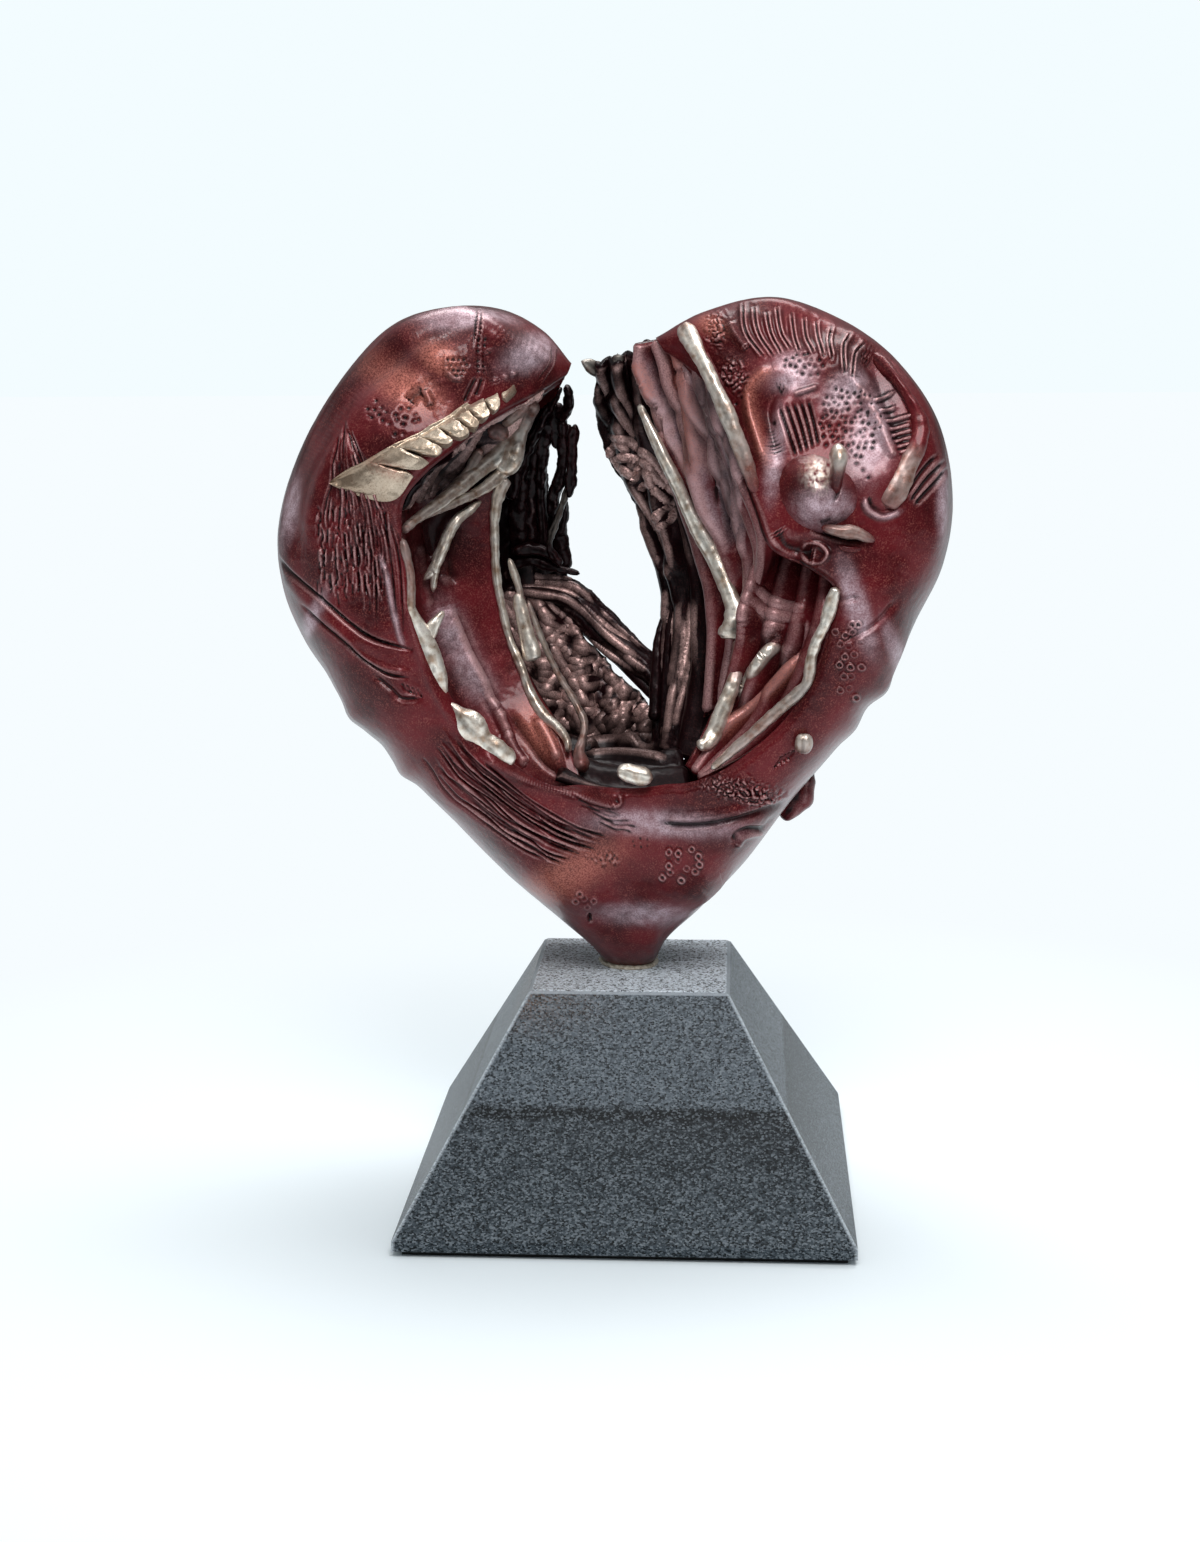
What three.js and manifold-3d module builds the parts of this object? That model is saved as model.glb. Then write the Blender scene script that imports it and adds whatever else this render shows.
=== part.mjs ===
import * as THREE from 'three';
import { mergeVertices } from 'three/addons/utils/BufferGeometryUtils.js';
import Module from 'manifold-3d';

// A torn, open heart of cast metal on a dark stone plinth.
// Millimetres. +X is the viewer's right, +Y goes to the back, +Z is up. The table is at z = 0.

// Stone plinth, a square pyramid cut off flat, on a felt pad
const PLINTH_BASE = 102;
const PLINTH_TOP = 45;
const PLINTH_HEIGHT = 51.5;
const PLINTH_LIP = 2.4;
const PLINTH_BEVEL = 0.7;
const FELT_THICKNESS = 1.5;
const FELT_INSET = 2;

// Rod, washer and nut that hold the heart down, and the well under the plinth that hides them
const ROD_DIAMETER = 6;
const ROD_IN_HEART = 13;
const ROD_BELOW_NUT = 2;
const NUT_ACROSS_FLATS = 10;
const NUT_HEIGHT = 5;
const WASHER_DIAMETER = 16;
const WASHER_THICKNESS = 1.4;
const WELL_DIAMETER = 21;
const WELL_DEPTH = 12;

// Resin bead round the heart's foot
const BEAD_HEIGHT = 1.3;
const BEAD_WIDTH = 2.2;

// Heart
const HEART_WIDTH = 154;
const HEART_HEIGHT = 154;
const FRONT_DEPTH = 30;
const BACK_DEPTH = 32;
const BACK_WIDTH = 43;
const SHELL_WALL = 4;
const APEX_SOLID = 15;
const LINING_WALL = 2.4;
const CURTAIN_WALL = 2;
const BOSS_DIAMETER = 21;
const BOSS_HEIGHT = 8;
const NIPPLE_DIAMETER = 5;

// Clearance between pieces that touch
const GAP = 0.3;

// The outlines below are drawn at this size, with the foot at this height
const DRAWN_SIZE = 154;
const DRAWN_FOOT = 53;
const SEAT = FELT_THICKNESS + PLINTH_HEIGHT;
const FOOT_X = -0.6;
const FOOT_Y = 3;

// The eye that the outlines are drawn from, level with the top of the heart
const EYE = new THREE.Vector3(24.3, -513.6, SEAT + 148.5);

const wasm = await Module();
wasm.setup();

const patina = { color: 0x6d2226, metalness: 0.6, roughness: 0.35 };
const darkPatina = { color: 0x3a2526, metalness: 0.6, roughness: 0.5 };
const nickelSilver = { color: 0xb5ab94, metalness: 0.9, roughness: 0.35 };
const stone = { color: 0x1c1f24, metalness: 0, roughness: 0.45 };
const felt = { color: 0x151515, metalness: 0, roughness: 1 };
const steel = { color: 0x9a9da0, metalness: 1, roughness: 0.3 };
const resin = { color: 0xb9b0a0, metalness: 0, roughness: 0.5 };

const heart = new THREE.Group();
const group = new THREE.Group();
group.add(heart);

// A closed geometry becomes a solid once it holds only positions and its shared corners are merged.
function solid(geometry) {
  geometry.deleteAttribute('normal');
  geometry.deleteAttribute('uv');
  const merged = mergeVertices(geometry);
  return new wasm.Manifold(new wasm.Mesh({
    numProp: 3,
    vertProperties: new Float32Array(merged.attributes.position.array),
    triVerts: new Uint32Array(merged.index.array),
  }));
}

function addPiece(parent, name, shape, finish) {
  const { vertProperties, triVerts } = shape.getMesh();
  const geometry = new THREE.BufferGeometry();
  geometry.setAttribute('position', new THREE.BufferAttribute(new Float32Array(vertProperties), 3));
  geometry.setIndex(new THREE.BufferAttribute(new Uint32Array(triVerts), 1));
  geometry.computeVertexNormals();
  const mesh = new THREE.Mesh(geometry, new THREE.MeshStandardMaterial(finish));
  mesh.name = name;
  parent.add(mesh);
}

// Solid from corners and triangles, turned right side out by the sign of its volume
function closedSolid(corners, triangles) {
  let volume = 0;
  for (const [a, b, c] of triangles) {
    volume += corners[a].dot(new THREE.Vector3().crossVectors(corners[b], corners[c]));
  }
  const outward = volume > 0 ? triangles : triangles.map(([a, b, c]) => [a, c, b]);
  const geometry = new THREE.BufferGeometry().setFromPoints(corners);
  geometry.setIndex(outward.flat());
  return solid(geometry);
}

// Slab between two matching grids of points, closed round its four edges
function slab(face, back) {
  const rows = face.length;
  const columns = face[0].length;
  const corners = [...face.flat(), ...back.flat()];
  const at = (layer, i, j) => (layer * rows + i) * columns + j;
  const triangles = [];
  const quad = (a, b, c, d) => triangles.push([a, b, c], [a, c, d]);
  for (let i = 0; i < rows - 1; i++) {
    for (let j = 0; j < columns - 1; j++) {
      quad(at(0, i, j), at(0, i + 1, j), at(0, i + 1, j + 1), at(0, i, j + 1));
      quad(at(1, i, j), at(1, i, j + 1), at(1, i + 1, j + 1), at(1, i + 1, j));
    }
    quad(at(0, i, 0), at(1, i, 0), at(1, i + 1, 0), at(0, i + 1, 0));
    quad(at(0, i, columns - 1), at(0, i + 1, columns - 1), at(1, i + 1, columns - 1), at(1, i, columns - 1));
  }
  for (let j = 0; j < columns - 1; j++) {
    quad(at(0, 0, j), at(0, 0, j + 1), at(1, 0, j + 1), at(1, 0, j));
    quad(at(0, rows - 1, j), at(1, rows - 1, j), at(1, rows - 1, j + 1), at(0, rows - 1, j + 1));
  }
  return closedSolid(corners, triangles);
}

// Place in the drawing plane, y = 0
const drawn = ([x, z]) => new THREE.Vector3(
  x * HEART_WIDTH / DRAWN_SIZE, 0, SEAT + (z - DRAWN_FOOT) * HEART_HEIGHT / DRAWN_SIZE);

// Moves a point of the drawing plane along its sight line to the depth y, so its front view stays.
const alongSight = (point, y) => point.clone().sub(EYE).multiplyScalar((y - EYE.y) / -EYE.y).add(EYE);

// Depth is a share: -1 is the front of the lobes and 1 their back.
const depthOf = (share) => share * (share < 0 ? FRONT_DEPTH : BACK_DEPTH);
const seen = ([x, z, share]) => alongSight(drawn([x, z]), depthOf(share));
const smooth = (points) => new THREE.CatmullRomCurve3(points, false, 'catmullrom', 0.5);
const steps = (count, make) => Array.from({ length: count + 1 }, (_, i) => make(i / count));

// Shell: a C-shaped section carried round the heart, from the left nose over the lobe, down to the foot
// and up to the right nose. Each station gives the rim and the front lip, both as the eye sees them.
const STATIONS = [
  [[-13.5, 192.5], [-15.5, 188.5]],
  [[-20, 200], [-20, 185.5]],
  [[-30, 204.8], [-26.5, 182.5]],
  [[-42, 205], [-33.5, 178.5]],
  [[-54, 201], [-40, 173.5]],
  [[-65, 190], [-46.5, 168.5]],
  [[-75, 174.5], [-52, 162]],
  [[-81, 157], [-53, 154]],
  [[-80.5, 142], [-52, 145.5]],
  [[-75, 128], [-50.5, 136]],
  [[-65, 112], [-47.5, 127]],
  [[-53, 98.5], [-43, 117.5]],
  [[-41, 86.5], [-36.5, 109]],
  [[-29, 74], [-27.5, 100.5]],
  [[-17.5, 64], [-19, 96]],
  [[-10, 57.5], [-11.5, 95.8]],
  [[-6.8, 51.5], [-5.5, 95.2]],
  [[-0.8, 50.2], [-1.5, 95]],
  [[5.2, 51.5], [2.5, 95.2]],
  [[8.7, 58.5], [7.5, 96]],
  [[16, 67], [13, 96.5]],
  [[26.5, 78.5], [20, 99]],
  [[39, 92], [28, 104.5]],
  [[50.5, 105], [36, 112.5]],
  [[58, 119.5], [42, 123]],
  [[64.5, 134.5], [45, 133]],
  [[70.3, 147], [46.5, 141]],
  [[72.2, 162], [41, 146]],
  [[68.5, 179.5], [31.5, 151]],
  [[59, 193], [27.5, 160]],
  [[47, 201.7], [24, 169]],
  [[32, 206.8], [20.5, 178.5]],
  [[17, 204], [15.5, 187.5]],
  [[5.5, 198], [8.5, 193.5]],
];
const APEX = 0.515;
const rimCurve = smooth(STATIONS.map(([rim]) => drawn(rim)));
const lipCurve = smooth(STATIONS.map(([, lip]) => drawn(lip)));

// Both noses taper off over NOSE_RUN of the way round, and the apex is slimmer than the lobes.
const NOSE_RUN = 0.17;
const apexShare = (u) => Math.exp(-(((u - APEX) / 0.09) ** 2));
const noseShare = (u) => Math.sin(Math.PI / 2 * Math.min(1, 0.1 + 0.9 * Math.min(u, 1 - u) / NOSE_RUN));
const bulgeShare = (u) => noseShare(u) * (1 - 0.2 * apexShare(u));
const backShare = (u) => noseShare(u) * (1 - 0.16 * Math.exp(-(((u - APEX - 0.08) / 0.14) ** 2)));

// Turn runs from -1 at the front lip, through 0 at the rim, to 1 at the back lip. Each half is a quarter
// of a superellipse, and the inside is the same curve drawn in by the wall.
function shellPoint(u, turn, inside, grow) {
  const rim = rimCurve.getPoint(u);
  const inward = lipCurve.getPoint(u).sub(rim);
  const lipReach = inward.length();
  const reach = turn < 0 ? lipReach : BACK_WIDTH * backShare(u);
  const bulge = (turn < 0 ? FRONT_DEPTH : BACK_DEPTH) * bulgeShare(u);
  const rimWall = Math.min(SHELL_WALL + APEX_SOLID * apexShare(u), reach / 2);
  const faceWall = Math.min(SHELL_WALL, bulge / 2);
  const across = inside ? reach - rimWall : reach + 2 * grow;
  const deep = inside ? bulge - faceWall - grow : bulge + grow;
  const fullness = 2 / (2.3 - 0.5 * apexShare(u));
  const angle = Math.abs(turn) * Math.PI / 2;
  const run = reach + grow - across * Math.cos(angle) ** fullness;
  const y = Math.sign(turn) * deep * Math.sin(angle) ** fullness;
  return alongSight(rim.add(inward.multiplyScalar(run / lipReach)), y);
}

function shell(start, end, rows, grow = 0) {
  const face = (inside) => steps(rows, (k) => steps(14, (t) => (
    shellPoint(start + (end - start) * k, 2 * t - 1, inside, grow))));
  return slab(face(false), face(true));
}

// Sheet of metal between two edge lines. Its bow, folds and wrinkles are heights over the straight
// lines that join the edges, raised along the sheet's own facing, which looks to the front.
function sheet(form, grow = 0) {
  const from = smooth(form.from.map(seen));
  const to = smooth(form.to.map(seen));
  const half = form.wall / 2 + 1.5 * grow;
  const point = ([u, overU], [t, overT], lift) => {
    const along = from.getTangent(u).add(to.getTangent(u)).normalize();
    const across = to.getPoint(u).sub(from.getPoint(u));
    const facing = new THREE.Vector3().crossVectors(across, along).normalize();
    if (facing.y > 0) {
      facing.negate();
    }
    const wave = Math.sin(2 * Math.PI * (form.folds * t + form.drift * u));
    const height = form.bow * Math.sin(Math.PI * t) + form.fold * wave + lift;
    return from.getPoint(u)
      .addScaledVector(across, t + overT / across.length())
      .addScaledVector(along, overU)
      .addScaledVector(facing, height);
  };
  const reach = (count) => [...(grow ? [[0, -grow]] : []), ...steps(count, (share) => [share, 0]),
    ...(grow ? [[1, grow]] : [])];
  const side = (lift) => reach(form.rows).map((u) => reach(form.columns).map((t) => point(u, t, lift)));
  return slab(side(half), side(-half));
}

// Strand with an oval section along a line of points: place, depth share, width and thickness
function strand(form, grow = 0) {
  const path = smooth(form.map(seen));
  const sizes = smooth(form.map(([, , , width, thick]) => new THREE.Vector3(width, thick, 0)));
  const sides = 8;
  const rings = 2 * (form.length - 1);
  const corners = [];
  const triangles = [];
  const ring = (u, scale, shift) => {
    const tangent = path.getTangent(u);
    const depth = new THREE.Vector3(0, 1, 0).addScaledVector(tangent, -tangent.y).normalize();
    const side = new THREE.Vector3().crossVectors(tangent, depth);
    const size = sizes.getPoint(u);
    const centre = path.getPoint(u).addScaledVector(tangent, shift);
    for (let k = 0; k < sides; k++) {
      const angle = 2 * Math.PI * (k + 0.5) / sides;
      corners.push(centre.clone()
        .addScaledVector(side, scale * (size.x / 2 + grow) * Math.cos(angle))
        .addScaledVector(depth, scale * (size.y / 2 + grow) * Math.sin(angle)));
    }
  };
  ring(0, 0.55, -0.4 - grow);
  steps(rings, (u) => ring(u, 1, 0));
  ring(1, 0.55, 0.4 + grow);
  for (let i = 0; i < rings + 2; i++) {
    for (let k = 0; k < sides; k++) {
      const next = (k + 1) % sides;
      const [a, b] = [i * sides + k, i * sides + next];
      triangles.push([a, b, b + sides], [a, b + sides, a + sides]);
    }
  }
  const last = (rings + 2) * sides;
  for (let k = 1; k < sides - 1; k++) {
    triangles.push([0, k + 1, k], [last, last + k, last + k + 1]);
  }
  return closedSolid(corners, triangles);
}

// Cuts a piece back from others and keeps the main body of what is left.
function trim(piece, cutters) {
  const rest = cutters.reduce((left, cutter) => left.subtract(cutter), piece);
  return rest.decompose().reduce((most, body) => (body.volume() > most.volume() ? body : most));
}

// Upright round piece on the rod's axis
function turned(profile, base, segments = 24) {
  const points = profile.map(([radius, height]) => new THREE.Vector2(radius, height));
  const geometry = new THREE.LatheGeometry(points, segments);
  geometry.rotateX(Math.PI / 2);
  geometry.translate(FOOT_X, FOOT_Y, base);
  return solid(geometry);
}

const rod = (radius, base, height) => turned([[0, 0], [radius, 0], [radius, height], [0, height]], base);

// Plinth
function plinth() {
  const diagonal = Math.SQRT1_2 * 2;
  const slope = (PLINTH_BASE - PLINTH_TOP) / 2 / (PLINTH_HEIGHT - PLINTH_LIP);
  const profile = [
    [0, 0],
    [PLINTH_BASE / 2, 0],
    [PLINTH_BASE / 2, PLINTH_LIP],
    [PLINTH_TOP / 2 + slope * PLINTH_BEVEL, PLINTH_HEIGHT - PLINTH_BEVEL],
    [PLINTH_TOP / 2 - PLINTH_BEVEL, PLINTH_HEIGHT],
    [0, PLINTH_HEIGHT],
  ];
  const points = profile.map(([half, height]) => new THREE.Vector2(half * diagonal, height));
  const block = new THREE.LatheGeometry(points, 4);
  block.rotateX(Math.PI / 2);
  block.rotateZ(Math.PI / 4);
  block.translate(0, 0, FELT_THICKNESS);
  return solid(block)
    .subtract(rod(ROD_DIAMETER / 2 + GAP, 0, SEAT + 1))
    .subtract(rod(WELL_DIAMETER / 2, 0, FELT_THICKNESS + WELL_DEPTH));
}

function feltPad() {
  const side = PLINTH_BASE - 2 * FELT_INSET;
  const pad = new THREE.BoxGeometry(side, side, FELT_THICKNESS - GAP);
  pad.translate(0, 0, (FELT_THICKNESS - GAP) / 2);
  return solid(pad);
}

function nut() {
  const corners = steps(5, (k) => new THREE.Vector2(1, 0)
    .rotateAround(new THREE.Vector2(), k * 5 * Math.PI / 3)
    .multiplyScalar(NUT_ACROSS_FLATS / Math.sqrt(3)));
  const outline = new THREE.Shape(corners);
  outline.holes.push(new THREE.Path().absarc(0, 0, ROD_DIAMETER / 2 + GAP, 0, 2 * Math.PI));
  const body = new THREE.ExtrudeGeometry(outline, { depth: NUT_HEIGHT, bevelEnabled: false, curveSegments: 12 });
  body.translate(FOOT_X, FOOT_Y, NUT_BASE);
  return solid(body);
}

const WASHER_TOP = FELT_THICKNESS + WELL_DEPTH - GAP;
const NUT_BASE = WASHER_TOP - WASHER_THICKNESS - GAP - NUT_HEIGHT;
const ROD_BASE = NUT_BASE - ROD_BELOW_NUT;
const washerHole = ROD_DIAMETER / 2 + GAP;
const washer = turned([
  [washerHole, 0], [WASHER_DIAMETER / 2, 0], [WASHER_DIAMETER / 2, WASHER_THICKNESS],
  [washerHole, WASHER_THICKNESS], [washerHole, 0],
], WASHER_TOP - WASHER_THICKNESS);

addPiece(group, 'felt_pad', feltPad(), felt);
addPiece(group, 'plinth', plinth(), stone);
addPiece(group, 'rod_nut', nut(), steel);
addPiece(group, 'rod_washer', washer, steel);
addPiece(group, 'mounting_rod', rod(ROD_DIAMETER / 2, ROD_BASE, SEAT + ROD_IN_HEART - ROD_BASE), steel);

// The three castings of the shell, with the seams where the lobes narrow to the apex
const LEFT_SEAM = 0.4;
const RIGHT_SEAM = 0.62;
const ROUND = 480;
const SEAM = GAP / 2 / ROUND;
const castings = (grow, seam) => [
  shell(0, LEFT_SEAM - seam, 18, grow),
  shell(LEFT_SEAM + seam, RIGHT_SEAM - seam, 10, grow),
  shell(RIGHT_SEAM + seam, 1, 18, grow),
];
const [leftLobe, apex, rightLobe] = castings(0, SEAM);
const grownShell = castings(GAP, -SEAM);
const level = (base, height) => {
  const block = new THREE.BoxGeometry(PLINTH_TOP, PLINTH_TOP, height);
  block.translate(FOOT_X, FOOT_Y, base + height / 2);
  return solid(block);
};
const foot = apex
  .subtract(level(SEAT - PLINTH_TOP, PLINTH_TOP))
  .subtract(rod(ROD_DIAMETER / 2 + GAP, SEAT - 1, 1 + ROD_IN_HEART + GAP));
addPiece(heart, 'left_lobe_shell', leftLobe, patina);
addPiece(heart, 'apex_shell', trim(foot, []), patina);
addPiece(heart, 'right_lobe_shell', rightLobe, patina);

// The bead is the foot's own skin, swelled by the bead's width and cut to its height.
const bead = shell(LEFT_SEAM, RIGHT_SEAM, 10, BEAD_WIDTH).intersect(level(SEAT, BEAD_HEIGHT));
addPiece(group, 'resin_bead', trim(bead, grownShell), resin);

// Linings and curtains, then tendons. Each piece gives way to all that come before it.
const before = [...grownShell];

function place(name, piece, grown, finish) {
  addPiece(heart, name, trim(piece, before), finish);
  before.push(grown);
}

const SHEETS = {
  left_lining: {
    from: [[-54, 158, -0.85], [-54, 147, -0.85], [-52, 136, -0.85], [-48.5, 125, -0.85],
      [-43, 114.5, -0.83], [-35, 105, -0.81], [-22, 95.5, -0.78]],
    to: [[-30.5, 166, 0.1], [-31, 155, 0.1], [-30, 142, 0.05], [-26.5, 130, 0],
      [-21.5, 119, -0.1], [-15, 108, -0.3], [-11.5, 97, -0.5]],
    wall: LINING_WALL, bow: -10, folds: 1.5, fold: 1, drift: 0.2, rows: 10, columns: 9, finish: patina,
  },
  left_recess_folds: {
    from: [[-54, 160, -0.82], [-48, 168, -0.82], [-40, 174.5, -0.78], [-32, 180, -0.66], [-20, 187, -0.35]],
    to: [[-33, 159, 0.2], [-31.5, 164, 0.2], [-29.5, 169, 0.25], [-26, 176, 0.25], [-18.5, 186.5, 0.1]],
    wall: LINING_WALL, bow: -7, folds: 3, fold: 1.6, drift: 1, rows: 6, columns: 14, finish: darkPatina,
  },
  right_flutes: {
    from: [[1.5, 197, 0.05], [4, 184.5, 0.15], [8.5, 168.5, 0.2], [14, 150, 0.2], [16.5, 138, 0.15],
      [17, 126, 0.08], [16, 112, 0]],
    to: [[13, 199, -0.45], [18, 187.5, -0.68], [22.5, 177, -0.82], [27, 166, -0.86], [31, 155, -0.84],
      [29, 142, -0.4], [23.5, 120, -0.15]],
    wall: LINING_WALL, bow: -5, folds: 5, fold: 1.7, drift: -0.4, rows: 8, columns: 20, finish: patina,
  },
  right_lower_flutes: {
    from: [[31, 144, -0.62], [28, 136, -0.5], [25, 127, -0.42], [21.5, 118, -0.36], [18, 110, -0.42],
      [13, 100, -0.58]],
    to: [[48, 143, -0.85], [46.5, 133, -0.85], [42.5, 121.5, -0.83], [36, 110.5, -0.81], [27, 102.5, -0.79],
      [16, 96.5, -0.76]],
    wall: LINING_WALL, bow: -3, folds: 4, fold: 1.4, drift: 0.3, rows: 7, columns: 16, finish: patina,
  },
  right_curtain: {
    from: [[-10.5, 193.5, 0.3], [-7, 180, 0.75], [-5, 170, 0.85], [2, 154, 0.85], [6.5, 138, 0.75],
      [6.5, 122, 0.62], [5.5, 105, 0.5]],
    to: [[3, 197.5, 0.12], [5.5, 184.5, 0.3], [9.5, 168.5, 0.35], [15, 149, 0.35], [18, 131, 0.28],
      [16, 115, 0.2], [13.5, 102, 0.1]],
    wall: CURTAIN_WALL, bow: 2, folds: 3, fold: 1.3, drift: 1.2, rows: 10, columns: 14, finish: darkPatina,
  },
  strand_curtain: {
    from: [[-23, 188, 0.55], [-29, 176, 0.8], [-34, 162, 0.9], [-36, 145, 0.92]],
    to: [[-10.5, 187, 0.45], [-12.5, 177, 0.72], [-14, 162, 0.82], [-13.5, 145, 0.86]],
    wall: CURTAIN_WALL, bow: -1, folds: 4, fold: 1.1, drift: 0.3, rows: 6, columns: 18, finish: darkPatina,
  },
  diagonal_band: {
    from: [[-34, 147, 0.95], [-22, 146, 0.9], [-12, 143.5, 0.86], [-3, 135, 0.8], [8, 124, 0.66]],
    to: [[-34, 139, 0.95], [-24, 138, 0.9], [-14, 133.5, 0.86], [-5, 126, 0.8], [6, 115, 0.66]],
    wall: CURTAIN_WALL, bow: 2.5, folds: 2, fold: 0.8, drift: 0.4, rows: 7, columns: 8, finish: darkPatina,
  },
  wrinkled_wall: {
    from: [[-35, 139, 0.94], [-32, 127, 0.92], [-25.5, 114, 0.88], [-16, 102, 0.84], [-6, 96, 0.8],
      [5, 95, 0.74]],
    to: [[-18, 137.5, 0.82], [-10, 129.5, 0.8], [-4.5, 123.5, 0.78], [2, 117, 0.74], [6, 111.5, 0.7],
      [10, 104, 0.62]],
    wall: CURTAIN_WALL, bow: 3, folds: 2.5, fold: 1, drift: 4, rows: 12, columns: 8, finish: darkPatina,
  },
  floor_folds: {
    from: [[-14, 99, -0.5], [-6, 96, -0.62], [3, 96, -0.62], [13, 98, -0.5]],
    to: [[-15, 108, 0.66], [-6, 106, 0.66], [3, 106, 0.62], [10, 107, 0.55]],
    wall: CURTAIN_WALL, bow: 1, folds: 3, fold: 1.2, drift: 0.6, rows: 4, columns: 12, finish: darkPatina,
  },
  leaf_blade: {
    from: [[-68, 166.2, -0.9], [-52.5, 174.5, -1.03], [-36.5, 182.5, -0.84], [-21, 190.5, -0.42]],
    to: [[-67.4, 164.4, -0.9], [-50, 163.6, -1.1], [-34.5, 173.8, -0.98], [-23, 184.5, -0.62]],
    wall: CURTAIN_WALL, bow: 1.6, folds: 0, fold: 0, drift: 0, rows: 9, columns: 4, finish: nickelSilver,
  },
};

// Slits that make the blade a feather and that part the strands and the fork
const slit = (...points) => strand(points.map(([x, z, share, width]) => [x, z, share, width, 16]));
const SLITS = {
  leaf_blade: [
    slit([-61, 168, -1.08, 0.7], [-50, 165.4, -1.08, 1]),
    slit([-54.5, 171, -1.08, 0.7], [-43.5, 167.2, -1.08, 1]),
    slit([-48.5, 174, -1.06, 0.7], [-39, 170.4, -1.06, 1]),
    slit([-42, 177, -1, 0.7], [-33.5, 173.4, -1, 1]),
  ],
  strand_curtain: [slit([-18, 176, 0.8, 0.8], [-17.5, 166, 0.8, 3.4], [-17, 156, 0.8, 0.8])],
};

for (const [name, form] of Object.entries(SHEETS)) {
  const whole = sheet(form);
  const cut = (SLITS[name] ?? []).reduce((left, opening) => left.subtract(opening), whole);
  place(name, cut, sheet(form, GAP), form.finish);
}

// Boss on the right lobe: a dome with a nipple, its axis to the front
function boss([x, z, share], grow = 0) {
  const radius = BOSS_DIAMETER / 2 + grow;
  const height = BOSS_HEIGHT + grow;
  const profile = [[0, -6], [radius * 0.9, -6], ...steps(5, (k) => [
    radius * Math.cos(k * Math.PI / 2), height * Math.sin(k * Math.PI / 2)])];
  const dome = new THREE.LatheGeometry(profile.map(([r, h]) => new THREE.Vector2(Math.max(r, 0), h)), 16);
  const centre = seen([x, z, share]);
  dome.rotateX(Math.PI);
  dome.translate(centre.x, centre.y, centre.z);
  return solid(dome).add(strand([
    [x + 2.5, z + 3.5, share, NIPPLE_DIAMETER, NIPPLE_DIAMETER],
    [x + 5, z + 7, share - 0.2, NIPPLE_DIAMETER, NIPPLE_DIAMETER],
    [x + 5.6, z + 8, share - 0.3, NIPPLE_DIAMETER * 0.8, NIPPLE_DIAMETER * 0.8],
  ], grow));
}

place('valve_boss', boss([41.5, 163, -0.93]), boss([41.5, 163, -0.93], GAP), patina);

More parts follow.
